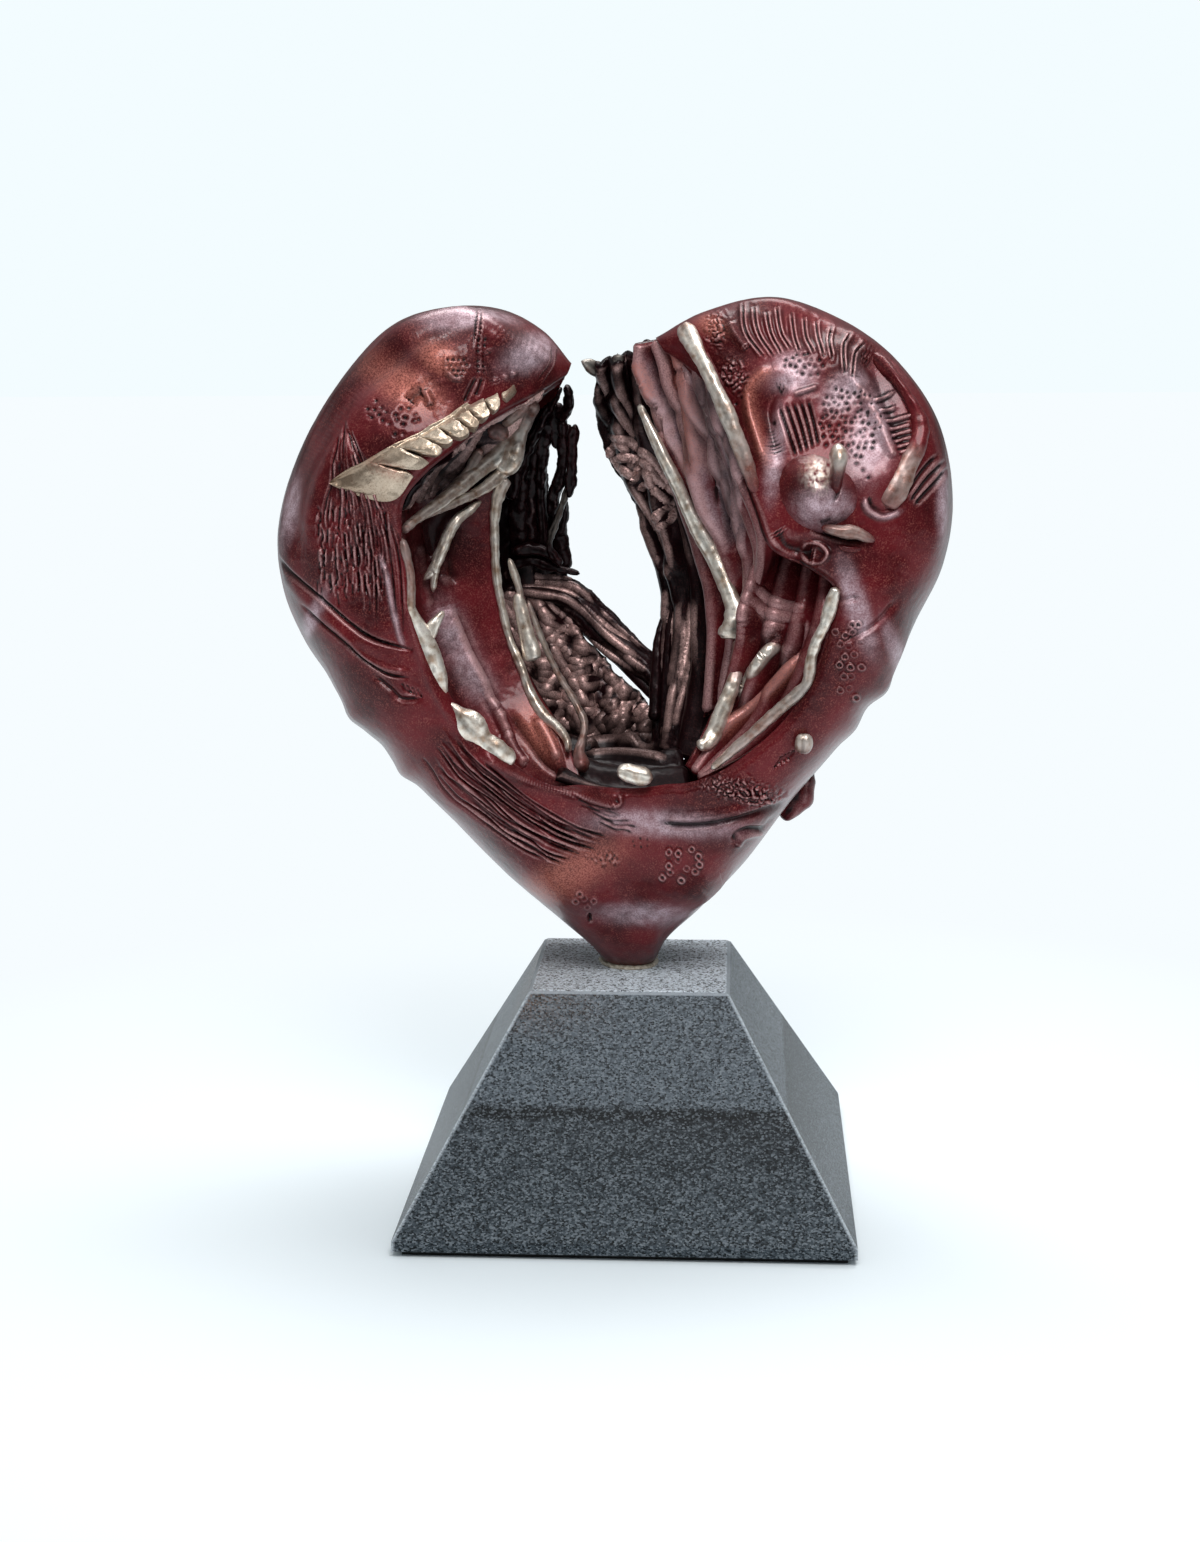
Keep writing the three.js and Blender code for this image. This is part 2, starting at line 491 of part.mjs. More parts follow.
// Place, depth share, width and thickness along each strand
const STRANDS = {
  left_rim_tendon: [[-51.5, 154, -0.95, 2.6, 3], [-50.5, 143.5, -0.95, 2.4, 3], [-50.5, 138, -0.95, 2.8, 3],
    [-47, 130, -0.94, 5, 3.4], [-43, 120.5, -0.93, 4.2, 3.2], [-37, 111.5, -0.91, 3.6, 3],
    [-28, 102.5, -0.88, 5.4, 3.4]],
  forked_tendon: [[-53, 154, -0.8, 2, 2.6], [-46, 159.5, -0.45, 3.2, 3], [-37, 165.5, -0.12, 4.4, 3.2],
    [-29.5, 170, 0.12, 7.5, 3.4], [-24, 177.5, 0.1, 5.5, 3], [-20.5, 184, -0.02, 3, 3]],
  slender_tendon: [[-47.5, 141, -0.24, 3.6, 3], [-44, 148.5, -0.26, 2.4, 3], [-40, 156.5, -0.2, 3.6, 3],
    [-33, 164.5, -0.06, 2.4, 3]],
  inner_long_tendon: [[-31, 167, 0.08, 3.2, 3.6], [-31, 153, 0.04, 3, 3.6], [-30, 139, 0, 2.8, 3.6],
    [-26, 127.5, -0.06, 3, 3.6], [-19.5, 117, -0.14, 4.4, 3.6], [-13.5, 106.5, -0.34, 3.2, 3.6],
    [-11.3, 98, -0.52, 5, 4.4]],
  inner_short_tendon: [[-28, 148.5, 0.05, 1.8, 2.8], [-26, 137, 0.02, 3.4, 3], [-23, 128.5, -0.04, 5, 3],
    [-20, 124, -0.08, 5.4, 3]],
  inner_fold_tendon: [[-24, 134, 0.04, 2.2, 3], [-17.5, 120.5, -0.04, 2.4, 3], [-10.2, 109, -0.24, 2.4, 3],
    [-9.8, 101, -0.42, 2.6, 3]],
  front_long_tendon: [[1.5, 184, 0.2, 2, 2.6], [7.5, 171, 0.04, 2.6, 3], [13, 159.5, 0, 3.2, 3],
    [19, 148.5, -0.05, 4.4, 3.4], [23, 138, -0.17, 4.2, 3.4], [24, 131, -0.22, 4.6, 4]],
  upper_long_tendon: [[12.5, 200, -0.32, 5, 3.4], [16.5, 192, -0.66, 5, 3.4], [21, 182, -0.83, 5, 3.4],
    [25.5, 170, -0.92, 5.6, 3.4], [28, 164, -0.95, 3.6, 3]],
  lower_tendon: [[24.5, 129, -0.3, 3, 3], [23.5, 121, -0.48, 3.4, 3], [20.5, 113.5, -0.49, 4, 3.2],
    [18.5, 107, -0.53, 5, 3.4], [15, 104.5, -0.6, 3.2, 3]],
  outer_tendon: [[45.5, 142.5, -0.95, 2.8, 3], [43.5, 131.5, -0.94, 3.4, 3], [40, 122.8, -0.93, 2.8, 3],
    [33.4, 113.3, -0.9, 3, 3], [24.6, 105.3, -0.88, 2.4, 3], [14, 99.6, -0.84, 2.4, 3]],
  rim_tab: [[-4, 97.3, -0.83, 4, 3.4], [1.5, 97.6, -0.84, 5.2, 3.6], [6.5, 97.5, -0.84, 3, 3.2]],
  rim_vein: [[56.5, 192.5, -0.38, 4, 4], [61, 184, -0.52, 5, 5], [65, 175, -0.57, 5, 5], [63.5, 169.5, -0.69, 4, 4],
    [60, 163.5, -0.81, 3, 3]],
  boss_lip: [[41, 151, -1.02, 3, 4], [48, 152.5, -1.01, 7, 5], [55, 155, -0.95, 3, 4]],
  rim_nub: [[39.5, 108.5, -0.99, 3.6, 4], [39.5, 104.5, -0.94, 4.4, 4.4]],
  spike_strip: [[5.5, 136, 0.64, 1.6, 3], [5.2, 122, 0.5, 3, 3], [5, 110, 0.4, 3.4, 3]],
  back_vessel_stub: [[33, 98, 0.72, 9, 9], [38.5, 94.5, 0.5, 10, 9], [42, 91.5, 0.3, 7.5, 7]],
};
const DARK = ['spike_strip'];
const RED = ['rim_vein', 'boss_lip', 'back_vessel_stub', 'inner_fold_tendon'];

for (const [name, form] of Object.entries(STRANDS)) {
  const finish = DARK.includes(name) ? darkPatina : RED.includes(name) ? patina : nickelSilver;
  place(name, strand(form), strand(form, GAP), finish);
}

export default group;
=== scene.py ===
import math
from collections import namedtuple

import bpy
import numpy as np
from mathutils import Matrix, Vector

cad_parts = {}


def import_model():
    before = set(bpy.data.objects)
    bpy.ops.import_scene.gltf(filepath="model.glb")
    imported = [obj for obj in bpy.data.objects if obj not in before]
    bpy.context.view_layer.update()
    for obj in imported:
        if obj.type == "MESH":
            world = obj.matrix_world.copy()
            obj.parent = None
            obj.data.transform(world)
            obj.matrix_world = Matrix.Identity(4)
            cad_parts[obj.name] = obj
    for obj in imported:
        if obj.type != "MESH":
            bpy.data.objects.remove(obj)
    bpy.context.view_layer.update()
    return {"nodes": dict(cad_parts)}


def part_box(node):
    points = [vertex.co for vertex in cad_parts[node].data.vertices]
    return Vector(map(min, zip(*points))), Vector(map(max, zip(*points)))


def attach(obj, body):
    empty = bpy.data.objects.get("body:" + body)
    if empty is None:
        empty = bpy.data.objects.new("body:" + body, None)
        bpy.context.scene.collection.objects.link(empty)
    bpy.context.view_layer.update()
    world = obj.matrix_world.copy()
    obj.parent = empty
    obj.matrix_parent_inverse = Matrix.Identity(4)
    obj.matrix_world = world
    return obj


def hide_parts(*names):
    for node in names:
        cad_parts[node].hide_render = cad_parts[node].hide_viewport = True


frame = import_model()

# A torn, open heart of patinated bronze with silver tendons, on a black stone plinth.
# Shapes are worked out in millimetres and put into the meshes in metres. +X is the viewer's right, +Y goes
# to the back and +Z is up. The heart's forms are drawn on the plane y = 0 as the eye sees them, and each
# point then slides along its sight line to its depth.
MM = 0.001
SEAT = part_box("plinth")[1].z / MM

# Camera: its place, its turns in radians, its picture and focal length in pixels, and the long side of its
# sensor in millimetres
EYE = np.array([24.3, -513.6, SEAT + 148.5])
YAW, PITCH, ROLL = -0.062, 0.196, -0.006
PICTURE_WIDTH = 1200
PICTURE_HEIGHT = 1542
FOCAL_PIXELS = 2259
SENSOR = 36

# Heart: how far it reaches to the front and to the back, how far its back closes in from the rim, how boxy
# its section is in front and behind, its wall, what the apex adds to it, the walls of the sheets, and the
# direction to the viewer
FRONT_DEPTH = 30
BACK_DEPTH = 32
BACK_WIDTH = 43
FRONT_FULLNESS = 3.4
BACK_FULLNESS = 2.3
SHELL_WALL = 4
APEX_SOLID = 15
LINING_WALL = 2.4
CURTAIN_WALL = 2
TO_FRONT = (0, -1, 0)


def camera_axes():
    """Right, forward and up as rows: the world turned by the yaw, tipped by the pitch, then rolled."""
    sy, cy = math.sin(YAW), math.cos(YAW)
    sp, cp = math.sin(PITCH), math.cos(PITCH)
    sr, cr = math.sin(ROLL), math.cos(ROLL)
    yaw = np.array([[cy, -sy, 0], [sy, cy, 0], [0, 0, 1]])
    pitch = np.array([[1, 0, 0], [0, cp, -sp], [0, sp, cp]])
    roll = np.array([[cr, 0, sr], [0, 1, 0], [-sr, 0, cr]])
    return roll @ pitch @ yaw


AXES = camera_axes()


def on_plane(pixels):
    """Places (x, z) on the drawing plane under pixels of the picture: each sight ray meets y = 0."""
    pixels = np.asarray(pixels, float)
    ray = np.stack([(pixels[..., 0] - PICTURE_WIDTH / 2) / FOCAL_PIXELS, np.ones(pixels.shape[:-1]),
                    (PICTURE_HEIGHT / 2 - pixels[..., 1]) / FOCAL_PIXELS], -1) @ AXES
    points = EYE + ray * (-EYE[1] / ray[..., 1])[..., None]
    return points[..., [0, 2]]


def along_sight(points, y):
    """Points of the drawing plane moved along their sight lines to the depth y."""
    return EYE + (points - EYE) * ((y - EYE[1]) / -EYE[1])[..., None]


def drawn(places):
    """Places (x, z) as points of the drawing plane."""
    return np.stack([places[..., 0], 0 * places[..., 0], places[..., 1]], -1)


def seen(spots):
    """Places (x, z, share) in space. A share of -1 is the front of the lobes, and 1 their back."""
    spots = np.asarray(spots, float)
    share = spots[..., 2]
    return along_sight(drawn(spots), share * np.where(share < 0, FRONT_DEPTH, BACK_DEPTH))


def sight_places(points):
    """The (x, z) where the sight line through each point meets the drawing plane."""
    reach = -EYE[1] / (points[..., 1] - EYE[1])
    return (EYE + (points - EYE) * reach[..., None])[..., [0, 2]]


def smooth(points, u):
    """Catmull-Rom line: between two points, a cubic whose end slopes are half the step between their
    neighbours. u runs from 0 to 1, with an equal share for each stretch."""
    points = np.asarray(points, float)
    padded = np.vstack([2 * points[0] - points[1], points, 2 * points[-1] - points[-2]])
    place = np.clip(u, 0, 1) * (len(points) - 1)
    k = np.minimum(place.astype(int), len(points) - 2)
    w = (place - k)[..., None]
    before, start, end, after = (padded[k + i] for i in range(4))
    leave, arrive = (end - before) / 2, (after - start) / 2
    return start + w * (leave + w * (3 * (end - start) - 2 * leave - arrive
                                     + w * (2 * (start - end) + leave + arrive)))


# The least length that is divided by, and the step to each side over which a line's direction is taken
TINY = 1e-9
SLOPE_STEP = 1e-4


def unit(vectors):
    """The vectors, each brought to a length of 1."""
    return vectors / np.maximum(np.linalg.norm(vectors, axis=-1, keepdims=True), TINY)


def tangents(points, u):
    """Directions along a smooth line, each taken over a small step to both sides."""
    ahead, behind = np.minimum(u + SLOPE_STEP, 1), np.maximum(u - SLOPE_STEP, 0)
    return unit(smooth(points, ahead) - smooth(points, behind))


def held(value):
    """The value, held between 0 and 1."""
    return np.clip(value, 0, 1)


def bell(gap, reach):
    """1 at no distance, falling off as exp(-(gap / reach)²)."""
    return np.exp(-(gap / reach) ** 2)


def evenly(count):
    """This many shares from 0 to 1, evenly apart."""
    return np.linspace(0, 1, count)


def facing_of(grid, toward):
    """Unit normals of a grid of points, all turned to the side that toward points to."""
    normal = unit(np.cross(np.gradient(grid, axis=0), np.gradient(grid, axis=1)))
    return normal * np.sign(np.sum(normal * toward))


# Numbers that scramble a lattice corner into a slope, the gain that brings noise to about -1 to 1, and the
# step from one octave's seed to the next
HASH_AXES = (73856093, 19349663, 83492791)
HASH_SEED = 374761393
HASH_START = 668265263
HASH_MIXERS = ((13, 1274126177), (15, 2246822519))
HASH_MASK = 0xFFFFFFFF
SLOPE_BITS = 10
HALF_SLOPE = 511.5
NOISE_GAIN = 1.6
OCTAVE_SEEDS = 17


def noise(places, cell, seed=0):
    """Gradient noise from about -1 to 1: each corner of a lattice of cells has a slope hashed from its
    number, and a point blends the slopes of the corners round it by a smooth step."""
    spots = np.asarray(places, float) / cell
    axes = range(spots.shape[-1])
    base = np.floor(spots).astype(np.int64)
    inner = spots - base
    blend = inner * inner * inner * (inner * (inner * 6 - 15) + 10)
    total = np.zeros(spots.shape[:-1])
    for corner in np.ndindex(*(2,) * len(axes)):
        number = np.full(spots.shape[:-1], seed * HASH_SEED + HASH_START, np.int64)
        share = np.ones(spots.shape[:-1])
        for a in axes:
            number ^= (base[..., a] + corner[a]) * HASH_AXES[a]
            share *= blend[..., a] if corner[a] else 1 - blend[..., a]
        for shift, factor in HASH_MIXERS:
            number = ((number ^ (number >> shift)) * factor) & HASH_MASK
        rise = 0
        for a in axes:
            slope = (number >> (SLOPE_BITS * a)) % 2 ** SLOPE_BITS / HALF_SLOPE - 1
            rise = rise + slope * (inner[..., a] - corner[a])
        total += share * rise
    return NOISE_GAIN * total


def rough(places, cell, octaves, seed=0):
    """Noise with finer noise on it: each octave has half the cell and half the height."""
    return sum(noise(places, np.asarray(cell) / 2 ** k, seed + OCTAVE_SEEDS * k) / 2 ** k
               for k in range(octaves))


def fine_grain(places):
    """A grain with cells of 1.6 mm, the same wherever it is laid."""
    return rough(places, 1.6, 2, 71)


# Relief drawn over the picture: raised and sunk lines, dents, rings, swells and grainy patches

Mark = namedtuple("Mark", "height width pixels tint", defaults=[None])
Dots = namedtuple("Dots", "height radius pixels ring", defaults=[0.0])
Swell = namedtuple("Swell", "height centre reach turn tint", defaults=[0.0, None])
# Tints: bare copper, bare silver, a black that is patina in grooves and painted shade over recesses, and a
# lilac grey painted sheen.
TINTS = ("copper", "silver", "ink", "painted_sheen")


# How far lines of a family stray from even spacing, how much lines and strokes vary in size, as shares,
# and how far a stroke's points stray, in pixels
FAMILY_DRIFT = 0.2
FAMILY_HEIGHTS = (0.6, 1.2)
FAMILY_WIDTHS = (0.8, 1.2)
TICK_LENGTHS = (0.5, 1.3)
TICK_HEIGHTS = (0.5, 1.3)
TICK_STRAY = 0.8


def family(first, last, count, height, width, seed, stray=1.0, trim=0.15, tint=None, knots=8):
    """Lines spread between two others, each with its own ends, depth and waver, in pixels."""
    rng = np.random.default_rng(seed)
    lines = []
    for k in range(count):
        share = (k + rng.uniform(-FAMILY_DRIFT, FAMILY_DRIFT)) / max(count - 1, 1)
        u = np.linspace(rng.uniform(0, trim), 1 - rng.uniform(0, trim), knots)
        line = (1 - share) * smooth(first, u) + share * smooth(last, u)
        line = line + rng.normal(0, stray, line.shape)
        deep = height * rng.uniform(*FAMILY_HEIGHTS)
        lines.append(Mark(deep, width * rng.uniform(*FAMILY_WIDTHS), line, tint))
    return lines


def ticks(corner, size, count, length, lean, height, width, seed):
    """Short strokes strewn in a box, all leaning much the same way, in pixels."""
    rng = np.random.default_rng(seed)
    marks = []
    for _ in range(count):
        start = np.asarray(corner) + rng.uniform(0, 1, 2) * size
        run = length * rng.uniform(*TICK_LENGTHS)
        end = start + np.array([lean * run + rng.normal(0, TICK_STRAY), run])
        deep = height * rng.uniform(*TICK_HEIGHTS)
        bend = (start + end) / 2 + rng.normal(0, TICK_STRAY, 2)
        marks.append(Mark(deep, width, [start, bend, end]))
    return marks


# Drawn lines: their steps and their reach to the sides in widths of the line, and how they fade at their
# ends. Dots: their mean height, and how it swings from dot to dot. Then the share below which a patch
# carries no grain, and how sharp its edge is.
LINE_STEP = 0.35
LINE_STEPS = 6
LINE_REACH = 2.4
LINE_FADE = 7
LINE_END = 0.25
DOT_MEAN = 0.75
DOT_SPREAD = 0.35
DOT_TURN = 2.4
FAINT = 0.02
PATCH_EDGE = 1.5


def line_bell(flat, mark):
    """Numbers of the places near a drawn line, and over them its bell, which fades at both ends."""
    line = on_plane(mark.pixels)
    length = np.linalg.norm(np.diff(line, axis=0), axis=1).sum()
    count = max(int(length / (LINE_STEP * mark.width)), LINE_STEPS)
    path = smooth(line, evenly(count))
    reach = LINE_REACH * mark.width
    near = np.all((flat > path.min(0) - reach) & (flat < path.max(0) + reach), axis=1).nonzero()[0]
    gaps = ((flat[near, None] - path[None]) ** 2).sum(-1)
    share = gaps.argmin(1) / (count - 1)
    fade = held(LINE_FADE * np.minimum(share, 1 - share) + LINE_END)
    return near, fade * np.exp(-gaps.min(1) / mark.width ** 2)


def draw(places, marks=(), dots=(), swells=(), grains=()):
    """Height of a relief over places on the drawing plane, and its tints from 0 to 1. Lines and dots are
    bells across, a ring is a bell round a circle, a swell is a broad ellipse, and a grainy one carries
    fine noise."""
    flat = places.reshape(-1, 2)
    height = np.zeros(len(flat))
    tints = {tint: np.zeros(len(flat)) for tint in TINTS}
    for mark in marks:
        near, share = line_bell(flat, mark)
        height[near] += mark.height * share
        if mark.tint:
            tints[mark.tint][near] = np.maximum(tints[mark.tint][near], share)
    for group in dots:
        for k, spot in enumerate(on_plane(group.pixels)):
            near = (np.abs(flat - spot).max(1) < group.ring + 3 * group.radius).nonzero()[0]
            gap = np.linalg.norm(flat[near] - spot, axis=1) - group.ring
            depth = group.height * (DOT_MEAN + DOT_SPREAD * math.sin(DOT_TURN * k * k))
            height[near] += depth * bell(gap, group.radius)
    for swell in swells:
        share = patch(flat, swell.centre, swell.reach, swell.turn)
        height += swell.height * share
        if swell.tint:
            tints[swell.tint] = np.maximum(tints[swell.tint], share)
    for grain in grains:
        share = patch(flat, grain.centre, grain.reach, grain.turn)
        inside = (share > FAINT).nonzero()[0]
        height[inside] += grain.height * share[inside] * np.abs(fine_grain(flat[inside]))
    shape = places.shape[:-1]
    return height.reshape(shape), {tint: grid.reshape(shape) for tint, grid in tints.items()}


def patch(places, centre, reach, turn=0.0):
    """1 inside an ellipse given by its centre pixel and reach in pixels, falling softly to 0 outside."""
    middle = on_plane(centre)
    scale = np.linalg.norm(on_plane([centre[0] + 1, centre[1]]) - middle)
    gap = (places - middle) / scale * [1, -1]
    along = gap[..., 0] * math.cos(turn) + gap[..., 1] * math.sin(turn)
    aside = -gap[..., 0] * math.sin(turn) + gap[..., 1] * math.cos(turn)
    return np.exp(-((along / reach[0]) ** 2 + (aside / reach[1]) ** 2) ** PATCH_EDGE)


def scatter(corner, size, spacing, seed, stray=0.3):
    """Pixels on a jittered lattice that fills an ellipse in a box."""
    rng = np.random.default_rng(seed)
    across, down = (np.arange(0, s, spacing) for s in size)
    pixels = np.stack(np.meshgrid(across, down), -1).reshape(-1, 2).astype(float)
    pixels[:, 0] += spacing / 2 * ((pixels[:, 1] / spacing).astype(int) % 2)
    pixels += rng.uniform(-stray, stray, pixels.shape) * spacing
    half = np.asarray(size) / 2
    inside = (((pixels - half) / half) ** 2).sum(1) < 1
    return pixels[inside] + corner


# Left lobe, in pixels of the picture
LEFT_RIM_CREST = [(290, 577), (281, 545), (281, 520), (284, 490), (297, 455), (318, 415), (346, 378),
                  (374, 347), (403, 329), (433, 317), (464, 312.5), (484, 320)]
NOSE_RIDGE = [(474, 327), (490, 330), (505, 343), (528, 356), (552, 367)]
LEFT_RIM_GROOVE = [(300, 560), (293, 530), (293, 505), (299, 475), (318, 440), (345, 400), (372, 368),
                   (400, 346), (432, 331), (460, 326)]
BACK_EDGE_STEP = [(331, 392), (345, 371), (365, 350), (388, 331), (413, 317)]
CRESCENT_DENT = [(408, 400), (414, 393), (423, 389)]
CRESCENT_EDGE = [(424, 388), (428.5, 396), (431, 404)]
EDGE_BUMPS = [
    ((352, 716), 1.1, 3.2), ((402, 774), 1.2, 3), ((378, 748), -0.6, 3), ((325, 672), -0.5, 5),
    ((885, 690), 0.9, 3), ((858, 735), 0.9, 3.4), ((872, 712), -0.6, 3),
]
CLUSTER_EDGE = [(446, 357), (447, 368), (454, 377), (463, 378)]
FORKED_SCRATCHES = [[(476, 378), (471, 389), (466, 401)], [(482.4, 378), (480, 387), (477, 395)]]
NOSE_VALLEY = [(486, 350), (491, 366), (497, 384)]
PANEL_LEFT = [(343, 421), (332, 467), (321, 535), (318, 590)]
PANEL_RIGHT = [(346, 421), (362, 455), (390, 514), (402, 560), (409, 650)]
PANEL_CREASE = [(276, 552), (290.6, 572.7), (304, 586), (317, 597), (347.8, 623.7), (374, 640),
                (411, 650)]
BEADED_EDGE = [(380, 556), (387, 580), (392, 605), (398, 630), (403, 646)]
PANEL_ROLL = [(283, 574), (300, 596), (325, 618), (350, 637), (378, 652)]
SECOND_CREASE = [(303, 606), (321, 624), (345.7, 645), (362, 659), (386.5, 674), (407, 678)]
SECOND_ROLL = [(330, 622), (350, 641), (366, 658), (388, 669), (408, 672)]
PLATE_EDGE = [(374, 676), (390.6, 690), (401, 699), (419, 699)]
PLATE_TICKS = [[(401 + 5 * k, 683 + 2 * k), (405 + 5 * k, 690 + 2 * k), (411 + 3 * k, 694 + k)]
               for k in range(4)]
LEFT_LIP_ROLL = [(398, 515), (405, 560), (408, 600), (416, 640), (428, 677), (440, 700), (462, 735)]
UPPER_WAVE = [(448, 718), (465, 746), (493, 771), (521, 794), (557, 817), (591, 833), (618, 840)]
LOWER_WAVE = [(421, 757), (442, 787), (470, 811), (493, 831), (518, 846), (540, 857), (562, 867)]
WAVE_TAIL_TOP = [(566, 790), (598, 806), (633, 812)]
WAVE_TAIL_LOW = [(590, 818), (615, 829), (640, 832)]
LIP_RIB = [(484, 755), (500, 766), (518, 776), (557, 788), (596.5, 801), (616, 806)]
LIP_HOOK = [(612, 806), (620, 803), (620, 794)]
PITS = [(373.8, 399), (366.5, 408), (373, 409), (371, 417), (378, 414), (382, 420), (385, 411.5),
        (389, 423.7), (395, 414), (396.5, 419), (403, 423.7), (404.7, 417), (408, 406.6), (399.8, 407.4),
        (414.4, 420.4), (418.5, 418.8), (416, 414), (395, 434), (403, 433.4), (368, 415), (380, 407)]
TWO_COLUMNS = [(x, 341 + 5 * k) for k in range(7) for x in (478, 484)]
NOSE_BUMPS = [(496.7, 380), (513, 374), (505, 377)]

# The beaded edge carries a painted lilac sheen.
LEFT_MARKS = [
    Mark(1.3, 1.8, LEFT_RIM_CREST), Mark(2.0, 3.0, NOSE_RIDGE), Mark(-1.1, 2.4, LEFT_RIM_GROOVE),
    Mark(-0.9, 0.5, BACK_EDGE_STEP), Mark(-1.3, 1.2, CRESCENT_DENT), Mark(1.0, 0.8, CRESCENT_EDGE),
    Mark(0.5, 0.5, CLUSTER_EDGE), Mark(-0.9, 1.3, NOSE_VALLEY),
    *(Mark(-0.7, 0.5, line) for line in FORKED_SCRATCHES),
    *family(PANEL_LEFT, PANEL_RIGHT, 24, -0.4, 0.3, 3, 0.7, 0.5, knots=6),
    *family(PANEL_LEFT, PANEL_RIGHT, 20, 0.3, 0.3, 4, 0.7, 0.6, knots=6),
    *ticks((316, 505), (72, 84), 80, 20, 0.08, -0.35, 0.3, 5),
    *ticks((316, 505), (72, 84), 60, 18, 0.08, 0.3, 0.3, 6), Mark(-1.2, 0.5, PANEL_CREASE, "ink"),
    Mark(0.4, 1.1, PANEL_ROLL), Mark(-0.8, 0.4, SECOND_CREASE, "ink"), Mark(0.5, 0.7, SECOND_ROLL),
    Mark(0.6, 0.6, BEADED_EDGE, "painted_sheen"), Mark(-1.0, 0.7, PLATE_EDGE),
    *(Mark(-0.5, 0.4, line) for line in PLATE_TICKS), Mark(1.0, 1.2, LEFT_LIP_ROLL),
    *family(UPPER_WAVE, LOWER_WAVE, 17, -0.9, 0.34, 8, 0.7, 0.3, "ink", knots=6),
    *family(UPPER_WAVE, LOWER_WAVE, 9, 0.4, 0.5, 9, 0.8, 0.3, knots=6),
    *family(WAVE_TAIL_TOP, WAVE_TAIL_LOW, 6, -0.5, 0.38, 10, 0.8, 0.3, knots=5), Mark(1.5, 1.3, LIP_RIB),
    Mark(1.0, 0.7, LIP_HOOK),
]
LEFT_DOTS = [
    Dots(-0.6, 0.5, PITS), Dots(-0.5, 0.42, TWO_COLUMNS), Dots(0.6, 0.6, NOSE_BUMPS),
    Dots(-0.5, 0.45, scatter((446, 354), (22, 23), 5.2, 12, 0.12)),
]
# Swells with the sheen tint paint lilac highlights on the nose, the top rim and along the left edge.
LEFT_SWELLS = [
    Swell(-1.8, (412, 384), (74, 34), 0.5), Swell(0, (402, 383), (48, 20), 0.55, "copper"),
    Swell(0, (438, 356), (24, 14), 0.6, "copper"), Swell(-0.8, (352, 560), (40, 80)),
    Swell(0.8, (330, 700), (30, 60), -0.8), Swell(0.6, (440, 800), (80, 22), -0.75),
    Swell(0, (530, 352), (30, 15), -0.5, "painted_sheen"), Swell(0, (468, 319), (46, 9), 0, "painted_sheen"),
    Swell(0, (288, 495), (7, 46), 0.1, "painted_sheen"), Swell(0, (310, 622), (7, 34), 0.5, "painted_sheen"),
]

# Apex
CROSS_CREASE = [(661, 824), (685, 825.5), (708.7, 824), (751, 815), (787, 803)]
CROSS_ROLL = [(664, 818), (690, 818), (715, 815), (750, 807)]
TONGUE_CREASE = [(733, 842), (737, 833), (748, 828.5), (765, 828), (774, 818)]
TONGUE_EDGE = [(736, 846), (744, 836), (764, 832)]
APEX_RINGS = [(669.4, 851.5), (678.7, 852.4), (691.8, 848.7), (698.3, 855), (698.9, 862), (694.6, 868.4),
              (686.8, 866), (678.7, 858.5), (670, 863.6), (671.4, 869.8), (663.8, 874.5), (681.5, 876.8),
              (579.6, 893.6), (576, 900.6), (584.4, 897.8), (593.6, 900.6), (587.4, 907)]
APEX_DOTS = [(633, 841.7), (640, 839), (647, 840), (634, 846), (641, 847), (647, 846)]
APEX_PIT = [(590, 915), (589, 920), (590, 924)]
APEX_MARKS = [
    Mark(-1.2, 0.8, CROSS_CREASE, "ink"), Mark(0.8, 1.2, CROSS_ROLL), Mark(-0.9, 0.6, TONGUE_CREASE),
    Mark(0.8, 0.8, TONGUE_EDGE), Mark(-1.0, 0.5, APEX_PIT, "ink"),
]
# The two sheen swells paint lilac grey reflections in bands across the apex.
APEX_SWELLS = [
    Swell(0, (560, 880), (70, 20), -0.5, "copper"), Swell(1.4, (690, 880), (60, 25), 0.3),
    Swell(-0.8, (640, 925), (60, 14), 0.1), Swell(0, (665, 824), (70, 13), 0.05, "painted_sheen"),
    Swell(0, (650, 916), (50, 12), 0.05, "painted_sheen"),
]
APEX_GRAINS = [Swell(1.1, (738, 792), (36, 11), 0.2), Swell(0.8, (603, 858), (22, 8), 0.1)]

# Right lobe
TOP_RIM_CREST = [(652, 334), (676, 319), (701, 306), (735, 301), (762, 300), (790, 305), (815, 312),
                 (840, 325), (862, 340), (877, 352)]
SIDE_RIM_CREST = [(880, 350), (903, 376), (921, 408), (933, 440), (939, 480), (938, 520), (932, 560)]
COMB = [
    [(743, 305.4), (746, 332), (762.4, 355.4)], [(754, 307), (758, 332), (772.6, 355)],
    [(766.5, 311.5), (770.6, 332), (781, 352)], [(776.7, 307.4), (781, 330), (790, 346)],
    [(792, 311.5), (795, 334), (799, 348)], [(805, 314.6), (807, 334), (813.5, 350)],
    [(817.6, 317.7), (819.6, 336), (823.7, 354)], [(832.9, 323.8), (830, 340), (833, 356)],
    [(850, 334), (844, 346), (846, 368.7)], [(864.5, 343), (856, 352), (854, 372.8)],
]
HATCH = [[(779 + 7 * k, 407 - 2 * k), (787 + 6.4 * k, 430 - 2.4 * k), (795 + 5.6 * k, 454 - 3 * k)]
         for k in range(5)]
FINE_RIDGE = [(793, 393), (804, 388), (817, 383)]
S_RIDGE = [(774, 369), (762, 376), (753, 386), (750, 402), (754, 421), (761, 443), (768, 468)]
